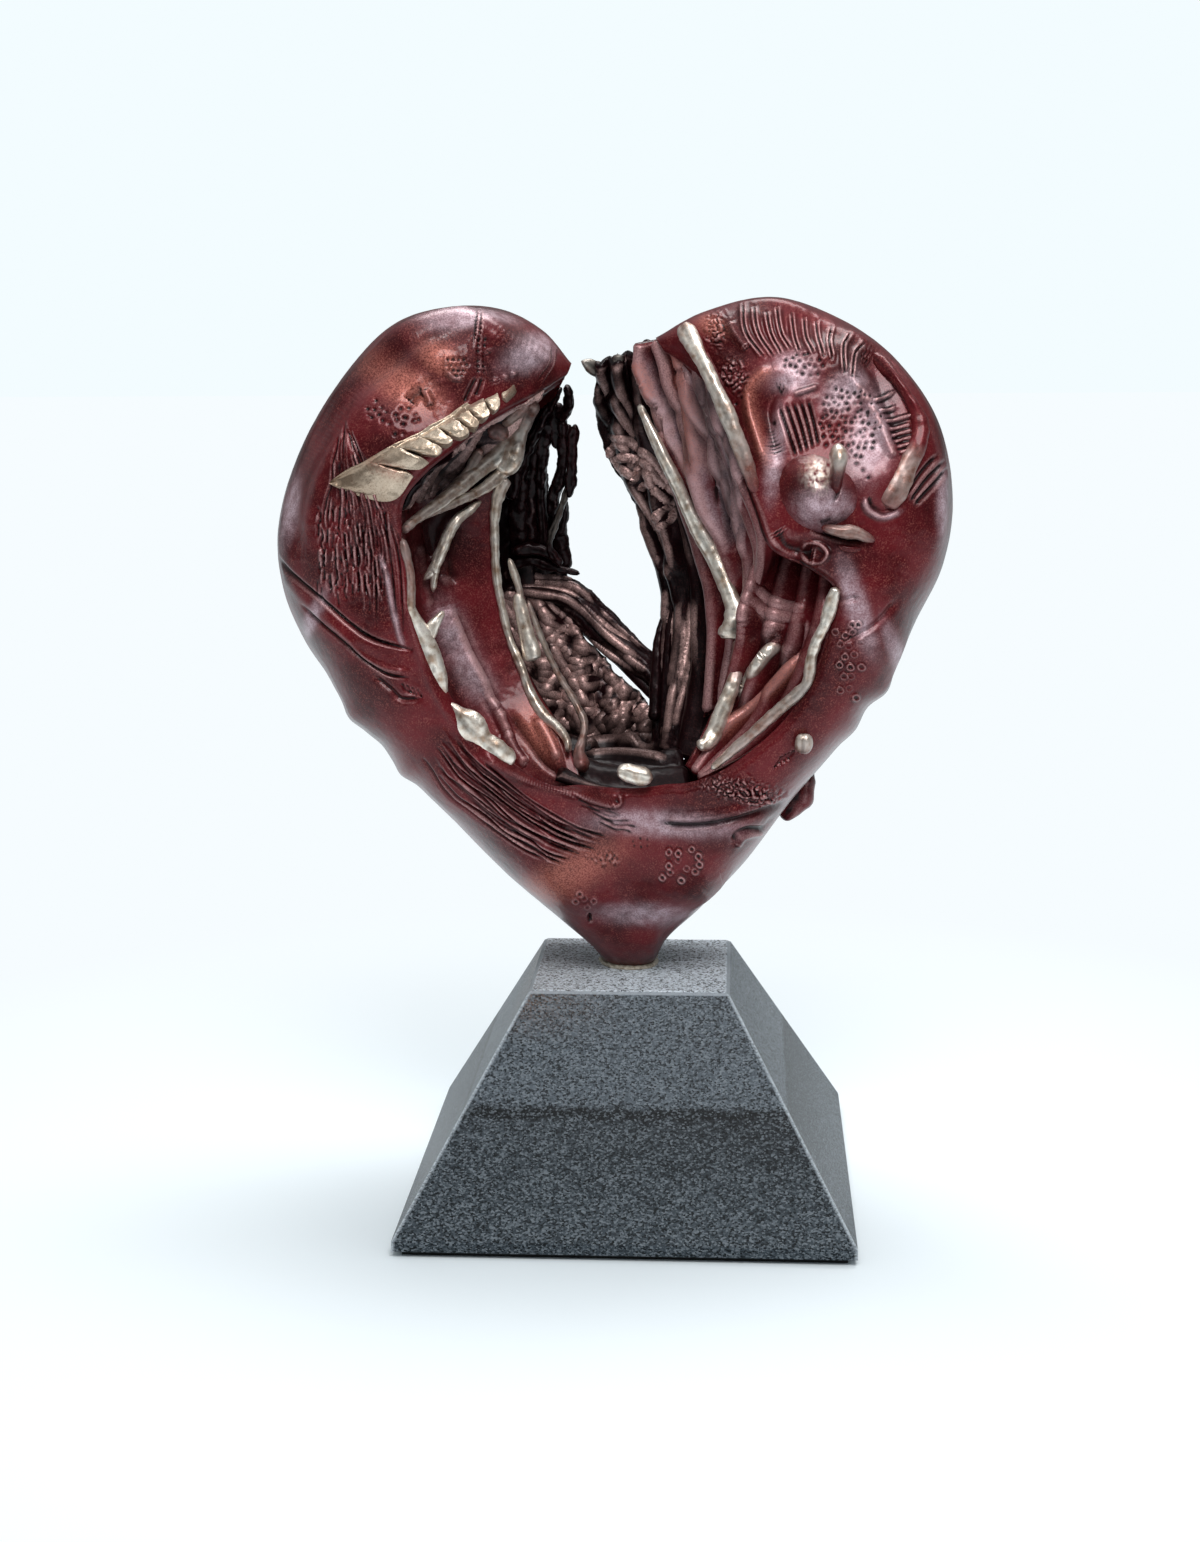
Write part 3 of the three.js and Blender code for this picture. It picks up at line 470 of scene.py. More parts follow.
S_HOLLOW = [(784, 384), (771, 394), (766, 410), (770, 430), (777, 455)]
BRIGHT_FOLD = [(730, 322), (737, 336), (747, 348)]
RIM_TROUGH = [(866, 348), (881, 370), (891, 396), (900, 424), (903, 446)]
TROUGH_EDGE = [(852, 374), (868, 394), (880, 418), (890, 445), (893, 458)]
TROUGH_RIBS = [
    [(877, 398), (887, 393), (897, 389)], [(883, 408), (892, 405.5), (900, 404)],
    [(889, 418.5), (903, 416), (913, 415)], [(893, 427), (903, 425), (911, 424)],
    [(896, 434), (904, 431), (912, 430)], [(898, 440), (906, 437.5), (912, 437)],
    [(900, 446), (907, 444), (912, 443)], [(901, 452), (907, 450), (912, 449)],
]
SLANTED = [
    [(934, 457), (920, 475), (905, 495)], [(940, 463), (926, 481), (911, 501)],
    [(942, 471), (931, 487), (915, 505)],
]
CRESCENT_RIM = [(864.5, 499), (866, 506), (870.6, 512), (880.8, 517), (890, 515.5), (900, 511)]
CRESCENT_HOLLOW = [(869, 496), (873, 505), (882, 510), (893, 507)]
LIP_CREASE = [(812, 528), (824, 532.5), (834, 536), (850, 539.5), (866, 539)]
SHORT_CREASE = [(820, 522.5), (826, 521), (831, 518.5)]
NECK_HOLLOW = [(776, 530), (786, 545), (800, 553), (815, 556)]
EYE_RING = [(800, 552), (808, 544), (820, 545), (827, 553), (821, 562), (808, 562), (800, 553)]
LOW_CREASES = [[(815, 590), (835, 600), (860, 596)], [(845, 640), (872, 625), (895, 600)]]
WARTS = scatter((832, 612), (32, 92), 11, 21, 0.3)
SIDE_DOTS = [(863, 470), (868, 478), (857, 463), (742, 398), (736, 404), (748, 410)]
NUB_HATCH = [[(775 + 4.5 * k, 769 - 2.5 * k), (779 + 4.5 * k, 763 - 2.5 * k), (783 + 4 * k, 757 - 2 * k)]
             for k in range(4)]
# The crescent rim carries a painted lilac sheen.
RIGHT_MARKS = [
    Mark(0.9, 1.2, TOP_RIM_CREST), Mark(0.9, 2.0, SIDE_RIM_CREST),
    *(Mark(0.9, 0.75, line) for line in COMB), *(Mark(-0.8, 0.32, line) for line in COMB),
    *(Mark(-0.85, 0.42, line) for line in HATCH), Mark(0.5, 0.4, FINE_RIDGE),
    Mark(1.6, 1.4, S_RIDGE, "copper"), Mark(-1.8, 1.7, S_HOLLOW), Mark(1.0, 1.1, BRIGHT_FOLD),
    Mark(-2.0, 1.9, RIM_TROUGH), Mark(1.0, 1.2, TROUGH_EDGE),
    *(Mark(0.9, 0.4, line) for line in TROUGH_RIBS), *(Mark(-1.0, 0.5, line, "ink") for line in SLANTED),
    Mark(0.8, 0.6, CRESCENT_RIM, "painted_sheen"), Mark(-0.4, 0.8, CRESCENT_HOLLOW),
    Mark(-1.3, 0.8, LIP_CREASE, "ink"), Mark(-0.7, 0.5, SHORT_CREASE, "ink"),
    Mark(-1.6, 1.6, NECK_HOLLOW), Mark(0.8, 0.6, EYE_RING),
    *(Mark(-0.9, 0.8, line) for line in LOW_CREASES), *(Mark(-0.7, 0.4, line) for line in NUB_HATCH),
]
RIGHT_DOTS = [
    Dots(-0.5, 0.42, scatter((783, 351), (44, 22), 6.6, 22, 0.3)),
    Dots(-0.5, 0.42, scatter((818, 380), (66, 78), 6.8, 23, 0.34)), Dots(-0.8, 0.6, [(772.6, 421.7)]),
    Dots(0.45, 0.28, WARTS, 0.7), Dots(-0.4, 0.4, SIDE_DOTS), Dots(0.45, 0.28, APEX_RINGS, 0.62),
    Dots(-0.3, 0.3, APEX_DOTS),
]
# Swells with the sheen tint paint lilac highlights round the bowl, on the ridges and on the right edge.
RIGHT_SWELLS = [
    Swell(-1.4, (800, 330), (62, 20), -0.25), Swell(-2.6, (838, 410), (56, 54)),
    Swell(0.8, (783, 425), (14, 40), 0.2), Swell(1.0, (885, 480), (22, 26), 0.4),
    Swell(0, (712, 326), (16, 10), 0.4, "copper"), Swell(-2.0, (795, 553), (30, 12), -0.3),
    Swell(1.2, (880, 640), (34, 90), -0.35), Swell(0, (873, 432), (22, 46), 0.2, "painted_sheen"),
    Swell(0, (792, 372), (22, 20), 0, "painted_sheen"), Swell(0, (775, 452), (9, 44), 0.1, "painted_sheen"),
    Swell(0, (856, 606), (11, 44), -0.3, "painted_sheen"), Swell(0, (896, 662), (8, 40), -0.35, "painted_sheen"),
    Swell(0, (940, 505), (6, 36), 0, "painted_sheen"), Swell(0, (846, 388), (26, 16), -0.6, "painted_sheen"),
]
RIGHT_GRAINS = [Swell(1.3, (716, 331), (11, 17), 0), Swell(1.3, (735, 376), (13, 20), -0.5),
                Swell(0.5, (755, 790), (45, 14), 0.2)]


# Grids of points and closed bodies

def crest_of(face, normal, reach=2):
    """Height of each point over the mean of its neighbours a few steps away, in millimetres."""
    rows, columns = face.shape[:2]
    i, j = np.arange(rows), np.arange(columns)
    up, down = np.clip(i - reach, 0, rows - 1), np.clip(i + reach, 0, rows - 1)
    left, right = np.clip(j - reach, 0, columns - 1), np.clip(j + reach, 0, columns - 1)
    mean = (face[up] + face[down] + face[:, left] + face[:, right]) / 4
    return ((face - mean) * normal).sum(-1)


def grid_quads(rows, columns):
    """Quads between the rows of a grid whose rows are closed loops."""
    i = np.arange(rows - 1)[:, None]
    j = np.arange(columns)[None, :]
    k = (j + 1) % columns
    corners = (i * columns + j, i * columns + k, (i + 1) * columns + k, (i + 1) * columns + j)
    return np.stack(np.broadcast_arrays(*corners), -1).reshape(-1, 4)


def tube_faces(rows, columns):
    """Faces of a tube of loops, with its first and last loops filled."""
    ends = [list(range(columns))[::-1], [(rows - 1) * columns + j for j in range(columns)]]
    return [list(quad) for quad in grid_quads(rows, columns)] + ends


def closed(face, back, **values):
    """Closed body of two grids with the same rows: a row is a loop, out along the face and home along the
    back, and the first and last loops are filled. Values are grids over the face, and 0 on the back."""
    loops = np.concatenate([face, back[:, ::-1]], axis=1)
    rows, columns = loops.shape[:2]
    points = loops.reshape(-1, 3)
    spread = {}
    for key, grid in values.items():
        whole = np.zeros((rows, columns))
        whole[:, :face.shape[1]] = grid
        spread[key] = whole.reshape(-1)
    return points, outward(points, tube_faces(rows, columns)), spread


def outward(points, faces):
    """The faces turned round if the body's volume comes out below 0."""
    quads = np.array([f for f in faces if len(f) == 4])
    middle = points.mean(0)
    a, b, c, d = (points[quads[:, k]] - middle for k in range(4))
    volume = np.einsum("ij,ij->", a, np.cross(b, c)) + np.einsum("ij,ij->", a, np.cross(c, d))
    return faces if volume > 0 else [f[::-1] for f in faces]


SHARP_ANGLE = 60


def add_piece(name, bodies, material, nodes=()):
    """Joins closed bodies into one piece that rides on the root and stands for the CAD nodes."""
    points, faces, values = [], [], {}
    start = 0
    total = sum(len(body[0]) for body in bodies)
    for body_points, body_faces, body_values in bodies:
        points.append(body_points)
        faces += [[start + v for v in f] for f in body_faces] if start else body_faces
        for key, value in body_values.items():
            values.setdefault(key, np.zeros(total))[start:start + len(body_points)] = value
        start += len(body_points)
    mesh = bpy.data.meshes.new(name)
    mesh.from_pydata(np.concatenate(points) * MM, [], faces)
    for key, value in values.items():
        mesh.attributes.new(key, "FLOAT", "POINT").data.foreach_set("value", value.astype(np.float32))
    mesh.polygons.foreach_set("use_smooth", np.ones(len(mesh.polygons), bool))
    mesh.set_sharp_from_angle(angle=math.radians(SHARP_ANGLE))
    mesh.materials.append(material)
    mesh.update()
    piece = bpy.data.objects.new(name, mesh)
    bpy.context.scene.collection.objects.link(piece)
    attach(piece, "root")
    if nodes:
        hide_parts(*nodes)
    return piece


# Materials

def feed(tree, node, inputs):
    """Fills a node's inputs: each with a value or with another node's output."""
    for key, value in inputs.items():
        if isinstance(value, bpy.types.NodeSocket):
            tree.links.new(value, node.inputs[key])
        else:
            node.inputs[key].default_value = value


def add(tree, kind, inputs, **settings):
    """Adds a node. An input is a value or another node's output, and settings are the node's own."""
    node = tree.nodes.new(kind)
    for key, value in settings.items():
        setattr(node, key, value)
    feed(tree, node, inputs)
    return node


def colour(hex_code):
    """An sRGB hex colour turned to linear light, with full alpha."""
    parts = [int(hex_code[i:i + 2], 16) / 255 for i in (1, 3, 5)]
    return [c / 12.92 if c <= 0.04045 else ((c + 0.055) / 1.055) ** 2.4 for c in parts] + [1.0]


def new_material(name):
    """An empty material, with its tree, its shader and the place on the object."""
    material = bpy.data.materials.new(name)
    material.use_nodes = True
    tree = material.node_tree
    tree.nodes.clear()
    shader = add(tree, "ShaderNodeBsdfPrincipled", {})
    add(tree, "ShaderNodeOutputMaterial", {"Surface": shader.outputs["BSDF"]})
    place = add(tree, "ShaderNodeTexCoord", {}).outputs["Object"]
    return material, tree, shader, place


def per_mm(size):
    """Texture scale that gives a grain of this size in millimetres."""
    return 1 / (size * MM)


def mixed(tree, share, low, high):
    """Colour between two, by a share from 0 to 1."""
    node = add(tree, "ShaderNodeMix", {"Factor": share}, data_type="RGBA")
    feed(tree, node, {6: low, 7: high})
    return node.outputs[2]


def over(tree, base, share, hex_code):
    """The base colour with another laid over it by a share from 0 to 1."""
    return mixed(tree, share, base, colour(hex_code))


def cloudy(tree, place, size, detail, roughness=0.5):
    """Cloudy noise from 0 to 1, with clouds of about this size in millimetres."""
    inputs = {"Vector": place, "Scale": per_mm(size), "Detail": float(detail), "Roughness": roughness}
    return add(tree, "ShaderNodeTexNoise", inputs).outputs["Fac"]


def between(tree, value, low, high, to_low=0.0, to_high=1.0):
    """Value carried from the range low to high onto the range to_low to to_high, and held at its ends."""
    node = add(tree, "ShaderNodeMapRange", {"Value": value, "From Min": low, "From Max": high,
                                            "To Min": to_low, "To Max": to_high}, clamp=True)
    return node.outputs["Result"]


def times(tree, a, b, operation="MULTIPLY"):
    """Product of two values, or the greater for MAXIMUM, held between 0 and 1."""
    return add(tree, "ShaderNodeMath", {0: a, 1: b}, operation=operation, use_clamp=True).outputs[0]


def greater(tree, a, b):
    return times(tree, a, b, "MAXIMUM")


def size_of(tree, value):
    """The value without its sign."""
    return add(tree, "ShaderNodeMath", {0: value}, operation="ABSOLUTE").outputs[0]


def bumped(tree, height, strength, depth):
    """Normals tilted by a relief this many millimetres deep."""
    return add(tree, "ShaderNodeBump", {"Strength": strength, "Distance": depth * MM,
                                        "Height": height}).outputs["Normal"]


# What all the metals share: colours, with a lilac one for painted sheen, sizes of clouds, blots and specks
# in millimetres, and how metallic they are where they are bare
LILAC_PAINTED_SHEEN = "#c0a7af"
BARE_COPPER = "#b0685a"
BARE_SILVER = "#f8efe3"
TARNISH = "#b09580"
BLACK_PATINA = "#0d0405"
CLOUD_SIZE = 13
BLOT_SIZE = 2.2
SPECK_SIZE = 0.34
BARE_METALLIC = 0.75


def metal_finish(name, deep, body, rubbed_and_highlight, speckle, metallic=0.35, roughness=0.4, coat=0.42,
                 edge=(0.04, 0.24), hollow=(-0.02, -0.16)):
    """A patinated metal: a body colour in clouds with a speckle, darker in its hollows and paler on its
    crests, where rubbed wear and painted highlight lie together. The four tint attributes blend in bare
    copper, bare silver, a black patina that also paints shade over recesses, and a lilac grey painted
    sheen."""
    material, tree, shader, place = new_material(name)
    crest, copper, silver, ink, painted_sheen = (
        add(tree, "ShaderNodeAttribute", {}, attribute_name=key).outputs["Fac"]
        for key in ("crest", *TINTS))
    clouds = cloudy(tree, place, CLOUD_SIZE, 4)
    speck = cloudy(tree, place, SPECK_SIZE, 2, 0.6)
    blots = cloudy(tree, place, BLOT_SIZE, 3)
    base = mixed(tree, between(tree, clouds, 0.38, 0.62), colour(deep), colour(body))
    flecks = times(tree, between(tree, speck, 0.5, 0.7), between(tree, blots, 0.35, 0.65, 0.2, 0.75))
    base = over(tree, base, flecks, speckle)
    # A lilac grey painted sheen, broken up by the grain, where the sheen tint lies.
    sheen_grain = times(tree, between(tree, blots, 0.3, 0.65, 0.4, 1), between(tree, speck, 0.35, 0.6, 0.5, 1))
    base = over(tree, base, times(tree, painted_sheen, sheen_grain), LILAC_PAINTED_SHEEN)
    # Crests take the paler colour: rubbed wear and painted highlight together.
    rub_and_highlight_share = times(tree, between(tree, crest, *edge), between(tree, speck, 0.3, 0.6, 0.3, 0.8))
    base = over(tree, base, rub_and_highlight_share, rubbed_and_highlight)
    base = over(tree, base, times(tree, copper, between(tree, speck, 0.35, 0.6, 0.2, 0.85)), BARE_COPPER)
    bare = mixed(tree, between(tree, blots, 0.4, 0.7), colour(BARE_SILVER), colour(TARNISH))
    base = mixed(tree, times(tree, silver, between(tree, blots, 0.2, 0.45, 0.6, 1.0)), base, bare)
    # Hollows and the dark tint turn black: patina in grooves, and painted shade where the tint lies over
    # recesses.
    dark = greater(tree, between(tree, crest, *hollow), times(tree, ink, 0.85))
    base = over(tree, base, times(tree, dark, 0.9), BLACK_PATINA)
    matt = between(tree, speck, 0.3, 0.7, roughness - 0.06, roughness + 0.1)
    feed(tree, shader, {
        "Base Color": base,
        "Roughness": times(tree, matt, between(tree, silver, 0, 1, 1, 0.8)),
        "Metallic": between(tree, silver, 0.1, 0.8, metallic, BARE_METALLIC),
        "Specular IOR Level": 0.15,
        "Coat Weight": coat,
        "Coat Roughness": 0.15,
        "Coat IOR": 1.38,
        "Normal": bumped(tree, speck, 0.4, 0.1),
    })
    return material


# Cast bronze under an oxblood patina and a clear lacquer: deep red, turning dusty rose on its crests, where
# rubbed wear and painted highlight lie together.
OXBLOOD = metal_finish("oxblood_patinated_bronze", "#3b080e", "#5f141b", "#bb8f8e", "#8c4b44")
# The same bronze left nearly black inside, with pinkish brown crests that are painted highlight as well as
# rubbed wear.
DARK = metal_finish("dark_patinated_bronze", "#0c0204", "#1e090d", "#dcb2ab", "#43201f", metallic=0.4,
                    roughness=0.36, coat=0.15, edge=(0.09, 0.42), hollow=(0.02, -0.1))
# Cast nickel silver, bright with brown in its hollows, and near white on its crests as rubbed wear and
# painted highlight.
NICKEL = metal_finish("nickel_silver", "#9a8470", "#c8b5a1", "#f6ede2", "#705546", metallic=0.75,
                      roughness=0.32, coat=0.2, hollow=(-0.02, -0.14))


# Heights on the plinth in millimetres: the dark band, a painted reflection, the part of it that fades down,
# the change to the darker foot, and the rust
BAND_LOW = 28.5
BAND_HIGH = 32
REFLECTION_FADE_LOW = 11.5
FOOT_HIGH = 32.5
FOOT_LOW = 22.5
RUST_LOW = 43.5
RUST_HIGH = 52.5
CRYSTAL_SIZE = 0.3
STONE_GRAIN = 0.34
STONE_CLOUD = 5
LEVEL_STRETCH = (0.7, 0.7, 1)


def stone_finish():
    """Honed black granite. Pale and black crystals, a little longer across than up, lie on a blue-grey
    ground, with a darker, ragged band round the middle of its height, painted as a dark reflection, and
    rust at the upper left. The top is painted near white as a reflection, and the arrises, where x and y
    are as far out as each other, and a line under the top edge are paler as painted highlights."""
    material, tree, shader, place = new_material("honed_black_granite")
    level_place = add(tree, "ShaderNodeVectorMath", {0: place, 1: LEVEL_STRETCH},
                      operation="MULTIPLY").outputs["Vector"]
    fine = cloudy(tree, level_place, STONE_GRAIN, 3, 0.75)
    cells = add(tree, "ShaderNodeTexVoronoi", {"Vector": level_place, "Scale": per_mm(CRYSTAL_SIZE)})
    crystal = add(tree, "ShaderNodeSeparateColor", {"Color": cells.outputs["Color"]}).outputs["Red"]
    wide = cloudy(tree, level_place, STONE_CLOUD, 4)
    across, deep, up = add(tree, "ShaderNodeSeparateXYZ", {"Vector": place}).outputs
    level = add(tree, "ShaderNodeMath", {0: wide, 1: 3 * MM, 2: up}, operation="MULTIPLY_ADD").outputs[0]
    # The band, and its fade downwards on part of the front, are a painted dark reflection.
    under_edge = between(tree, level, BAND_HIGH * MM, (BAND_HIGH - 1) * MM)
    streak = times(tree, between(tree, level, BAND_LOW * MM, (BAND_LOW + 1) * MM), under_edge)
    reflection_fade = times(tree, between(tree, level, REFLECTION_FADE_LOW * MM, (BAND_LOW + 1) * MM), under_edge)
    reflection_fade = times(tree, reflection_fade, between(tree, across, -0.03, 0.035, 0.35, 0.9))
    band = greater(tree, streak, reflection_fade)
    # The top face is painted near white: a painted reflection.
    top = between(tree, up, (SEAT - 0.3) * MM, (SEAT - 0.1) * MM)
    foot = between(tree, level, FOOT_HIGH * MM, FOOT_LOW * MM)
    base = mixed(tree, foot, colour("#4b5259"), colour("#394046"))
    base = over(tree, base, times(tree, top, 0.95), "#e4ecf4")
    base = over(tree, base, between(tree, crystal, 0.55, 1, 0, 0.5), "#8d959c")
    base = over(tree, base, between(tree, crystal, 0.45, 0.1, 0, 0.9), "#06080a")
    base = over(tree, base, times(tree, band, between(tree, crystal, 1, 0.55, 0.3, 0.95)), "#06080b")
    rusty = between(tree, level, RUST_LOW * MM, RUST_HIGH * MM)
    rust = times(tree, between(tree, across, 0, -0.03), rusty)
    base = over(tree, base, times(tree, rust, between(tree, fine, 0.45, 0.6, 0, 0.6)), "#7a5a45")
    # The arrises and a line just under the top edge are painted paler: painted highlights.
    gap = add(tree, "ShaderNodeMath", {0: size_of(tree, across), 1: size_of(tree, deep)},
              operation="SUBTRACT").outputs[0]
    edge_highlight = between(tree, size_of(tree, gap), 0.9 * MM, 0.2 * MM)
    edge_highlight = times(tree, edge_highlight, between(tree, fine, 0.4, 0.55, 0.3, 0.9))
    edge = times(tree, between(tree, up, (SEAT - 0.8) * MM, (SEAT - 0.6) * MM), 0.6)
    edge_highlight = greater(tree, edge_highlight, edge)
    edge_highlight = times(tree, edge_highlight, between(tree, up, (SEAT - 0.1) * MM, (SEAT - 0.3) * MM))
    feed(tree, shader, {
        "Base Color": over(tree, base, edge_highlight, "#b9c0c7"),
        "Roughness": between(tree, fine, 0.3, 0.7, 0.42, 0.26),
        "Specular IOR Level": 0.1,
        "Normal": bumped(tree, crystal, 0.9, 0.12),
    })
    return material


def plain_finish(name, low, high, size, metallic, roughness):
    """A finish in two near colours, clouded at one size."""
    material, tree, shader, place = new_material(name)
    clouds = cloudy(tree, place, size, 3)
    feed(tree, shader, {
        "Base Color": mixed(tree, between(tree, clouds, 0.35, 0.65), colour(low), colour(high)),
        "Roughness": between(tree, clouds, 0.3, 0.7, roughness - 0.05, roughness + 0.05),
        "Metallic": metallic,
        "Normal": bumped(tree, clouds, 0.3, 0.1),
    })
    return material


STONE = stone_finish()
# Wool felt, black and matt, in a nap about half a millimetre deep.
FELT = plain_finish("black_wool_felt", "#101010", "#1f1f20", 0.5, 0, 0.95)
# Zinc-plated steel, pale blue-grey and half bright.
ZINC = plain_finish("zinc_plated_steel", "#a3a7aa", "#c2c5c7", 1.2, 1, 0.32)
# Clear resin that has taken up brass dust and polish.
RESIN = plain_finish("dusty_clear_resin", "#8d7f6c", "#c9c0b0", 0.8, 0, 0.4)


# Shell of the heart

# Round the outline from the left nose by the apex to the right nose: the rim and the front lip as (x, z)
STATIONS = [
    [[-13.5, 192.5], [-15.5, 188.5]],
    [[-20, 200], [-20, 185.5]],
    [[-30, 204.8], [-26.5, 182.5]],
    [[-42, 205], [-33.5, 178.5]],
    [[-54, 201], [-40, 173.5]],
    [[-65, 190], [-46.5, 168.5]],
    [[-75, 174.5], [-52, 162]],
    [[-81, 157], [-53, 154]],
    [[-80.5, 142], [-52, 145.5]],
    [[-75, 128], [-50.5, 136]],
    [[-65, 112], [-47.5, 127]],
    [[-53, 98.5], [-43, 117.5]],
    [[-41, 86.5], [-36.5, 109]],
    [[-29, 74], [-27.5, 100.5]],
    [[-17.5, 64], [-19, 96]],
    [[-10, 57.5], [-11.5, 95.8]],
    [[-6, 53.2], [-5.5, 95.2]],
    [[-0.8, 51.3], [-1.5, 95]],
    [[4.4, 53.2], [2.5, 95.2]],
    [[8.2, 59.6], [7.5, 96]],
    [[16, 67], [13, 96.5]],
    [[26.5, 78.5], [20, 99]],
    [[36.4, 92.3], [28, 104.5]],
    [[47, 105], [36, 112.5]],
    [[58, 119.5], [42, 123]],
    [[64.5, 134.5], [45, 133]],
    [[70.3, 147], [46.5, 141]],
    [[72.2, 162], [41, 146]],
    [[68.5, 179.5], [31.5, 151]],
    [[59, 193], [27.5, 160]],
    [[47, 201.7], [24, 169]],
    [[32, 206.8], [20.5, 178.5]],
    [[17, 204], [15.5, 187.5]],
    [[5.5, 198], [8.5, 193.5]],
]
# Shares of the way round: the apex and its reach, how long the noses are, how far on from the apex the low
# back is and its reach, and the seams
APEX = 0.515
APEX_REACH = 0.09
NOSE_RUN = 0.17
LOW_BACK = 0.08
LOW_BACK_REACH = 0.14
LEFT_SEAM = 0.4
RIGHT_SEAM = 0.62
LEFT_TOP_SEAM = 0.216
RIGHT_TOP_SEAM = 0.8
# How far out a nose starts, what the apex loses in depth and the low back in width, and how much less boxy
# the apex is in front and behind
NOSE_TIP = 0.1
APEX_SLIMMING = 0.2
LOW_BACK_SLIMMING = 0.16
APEX_FRONT_FULLNESS = 1.6
APEX_BACK_FULLNESS = 0.5
# The skin's grid: points round the outline and along the section, and the front's usual width, over which
# its columns are spread evenly
ROWS = 1640
FRONT_COLUMNS = 190
BACK_COLUMNS = 52
INNER_COLUMNS = 22
LIP_REACH = 36
SKIN_ENDS = {
    "left_lobe_skin_top": (0, LEFT_TOP_SEAM),
    "left_lobe_skin": (LEFT_TOP_SEAM, LEFT_SEAM),
    "apex_skin": (LEFT_SEAM, RIGHT_SEAM),
    "right_lobe_skin": (RIGHT_SEAM, RIGHT_TOP_SEAM),
    "right_lobe_skin_top": (RIGHT_TOP_SEAM, 1),
}


FINE_STEPS = 4000


def even_shares(steps, shares, count):
    """This many of the shares, evenly apart along a path with these steps between its shares."""
    length = np.concatenate([[0], np.cumsum(steps)])
    return np.interp(np.linspace(0, length[-1], count), length, shares)


def even_turns(count, reach, depth, power):
    """Turns from 0 to 1 that share a section's length evenly."""
    turn = evenly(FINE_STEPS)
    angle = turn * math.pi / 2
    curve = np.stack([reach * (1 - np.cos(angle) ** power), depth * np.sin(angle) ** power], -1)
    return even_shares(np.linalg.norm(np.diff(curve, axis=0), axis=1), turn, count)


def even_rows(count):
    """Shares of the way round that divide the rim and the lip lines evenly."""
    stations = np.array(STATIONS, float)
    u = evenly(FINE_STEPS)
    steps = sum(np.linalg.norm(np.diff(smooth(stations[:, k], u), axis=0), axis=1) for k in (0, 1))
    return even_shares(steps, u, count)


def shell_points(u, turn, inside):
    """The C-shaped section carried round the heart. Turn runs from -1 at the front lip, through 0 at the
    rim, to 1 at the back lip. Each half is a quarter of a superellipse between the rim and the lip, slimmer
    at the noses and the apex and boxier at the front, and the inside is the same curve drawn in by the
    wall. Also gives each point's distance in from the rim, and on to the lip."""
    stations = np.array(STATIONS, float)
    rim = drawn(smooth(stations[:, 0], u))
    inward = drawn(smooth(stations[:, 1], u)) - rim
    lip_reach = np.linalg.norm(inward, axis=-1)
    apex = bell(u - APEX, APEX_REACH)
    nose = np.minimum(1, NOSE_TIP + (1 - NOSE_TIP) * np.minimum(u, 1 - u) / NOSE_RUN)
    nose = np.sin(math.pi / 2 * nose)
    front = turn < 0
    back_share = nose * (1 - LOW_BACK_SLIMMING * bell(u - APEX - LOW_BACK, LOW_BACK_REACH))
    reach = np.where(front, lip_reach, BACK_WIDTH * back_share)
    bulge = np.where(front, FRONT_DEPTH, BACK_DEPTH) * nose * (1 - APEX_SLIMMING * apex)
    across, deep = reach, bulge
    if inside:
        across = reach - np.minimum(SHELL_WALL + APEX_SOLID * apex, reach / 2)
        deep = bulge - np.minimum(SHELL_WALL, bulge / 2)
    power = 2 / np.where(front, FRONT_FULLNESS - APEX_FRONT_FULLNESS * apex,
                         BACK_FULLNESS - APEX_BACK_FULLNESS * apex)
    angle = np.abs(turn) * math.pi / 2
    run = reach - across * np.cos(angle) ** power
    y = np.sign(turn) * deep * np.sin(angle) ** power
    return along_sight(rim + inward * (run / lip_reach)[..., None], y), run, reach - run


# Unevenness of the skin in millimetres: waves and a grain with their cells and seeds, calmer at the rim,
# bumps on the rim, a rounded lip, a rim clear of marks, and folds on the back. The skin this far above the
# stone is the foot that the bead goes round.
SKIN_WAVES = ((0.55, 26, 3), (0.16, 9, 4))
SKIN_GRAIN, GRAIN_CELL, GRAIN_SEED = 0.07, 2.2, 5
RIM_CALM, CALM_REACH = 0.35, 12
BUMP_SHARE, BUMP_REACH = 1.5, 8
LIP_ROUNDING, ROUNDING_REACH = 1.4, 1.1
CLEAR_RIM = 1.2
BACK_FOLDS = (36, 7)
FOLD_SEED = 61
FOLD_HEIGHT, FOLD_START = 0.8, 8
# How strongly the back shows its crest tone: rubbed wear and painted highlight, and darker hollows.
BACK_CREST_GAIN = 0.25
FOOT_REACH = 0.8


def skin_unevenness(outside, run, lip_gap):
    """Height of the skin's waves, rim bumps and rounded lip, in millimetres."""
    height = sum(rise * noise(outside, cell, seed) for rise, cell, seed in SKIN_WAVES)
    height += SKIN_GRAIN * rough(outside, GRAIN_CELL, 2, GRAIN_SEED)
    height *= held(RIM_CALM + run / CALM_REACH)
    for spot, rise, reach in EDGE_BUMPS:
        gap = np.linalg.norm(sight_places(outside) - on_plane(spot), axis=-1)
        height += rise * bell(gap, reach) * held(BUMP_SHARE - run / BUMP_REACH)
    return height - LIP_ROUNDING * bell(lip_gap, ROUNDING_REACH)


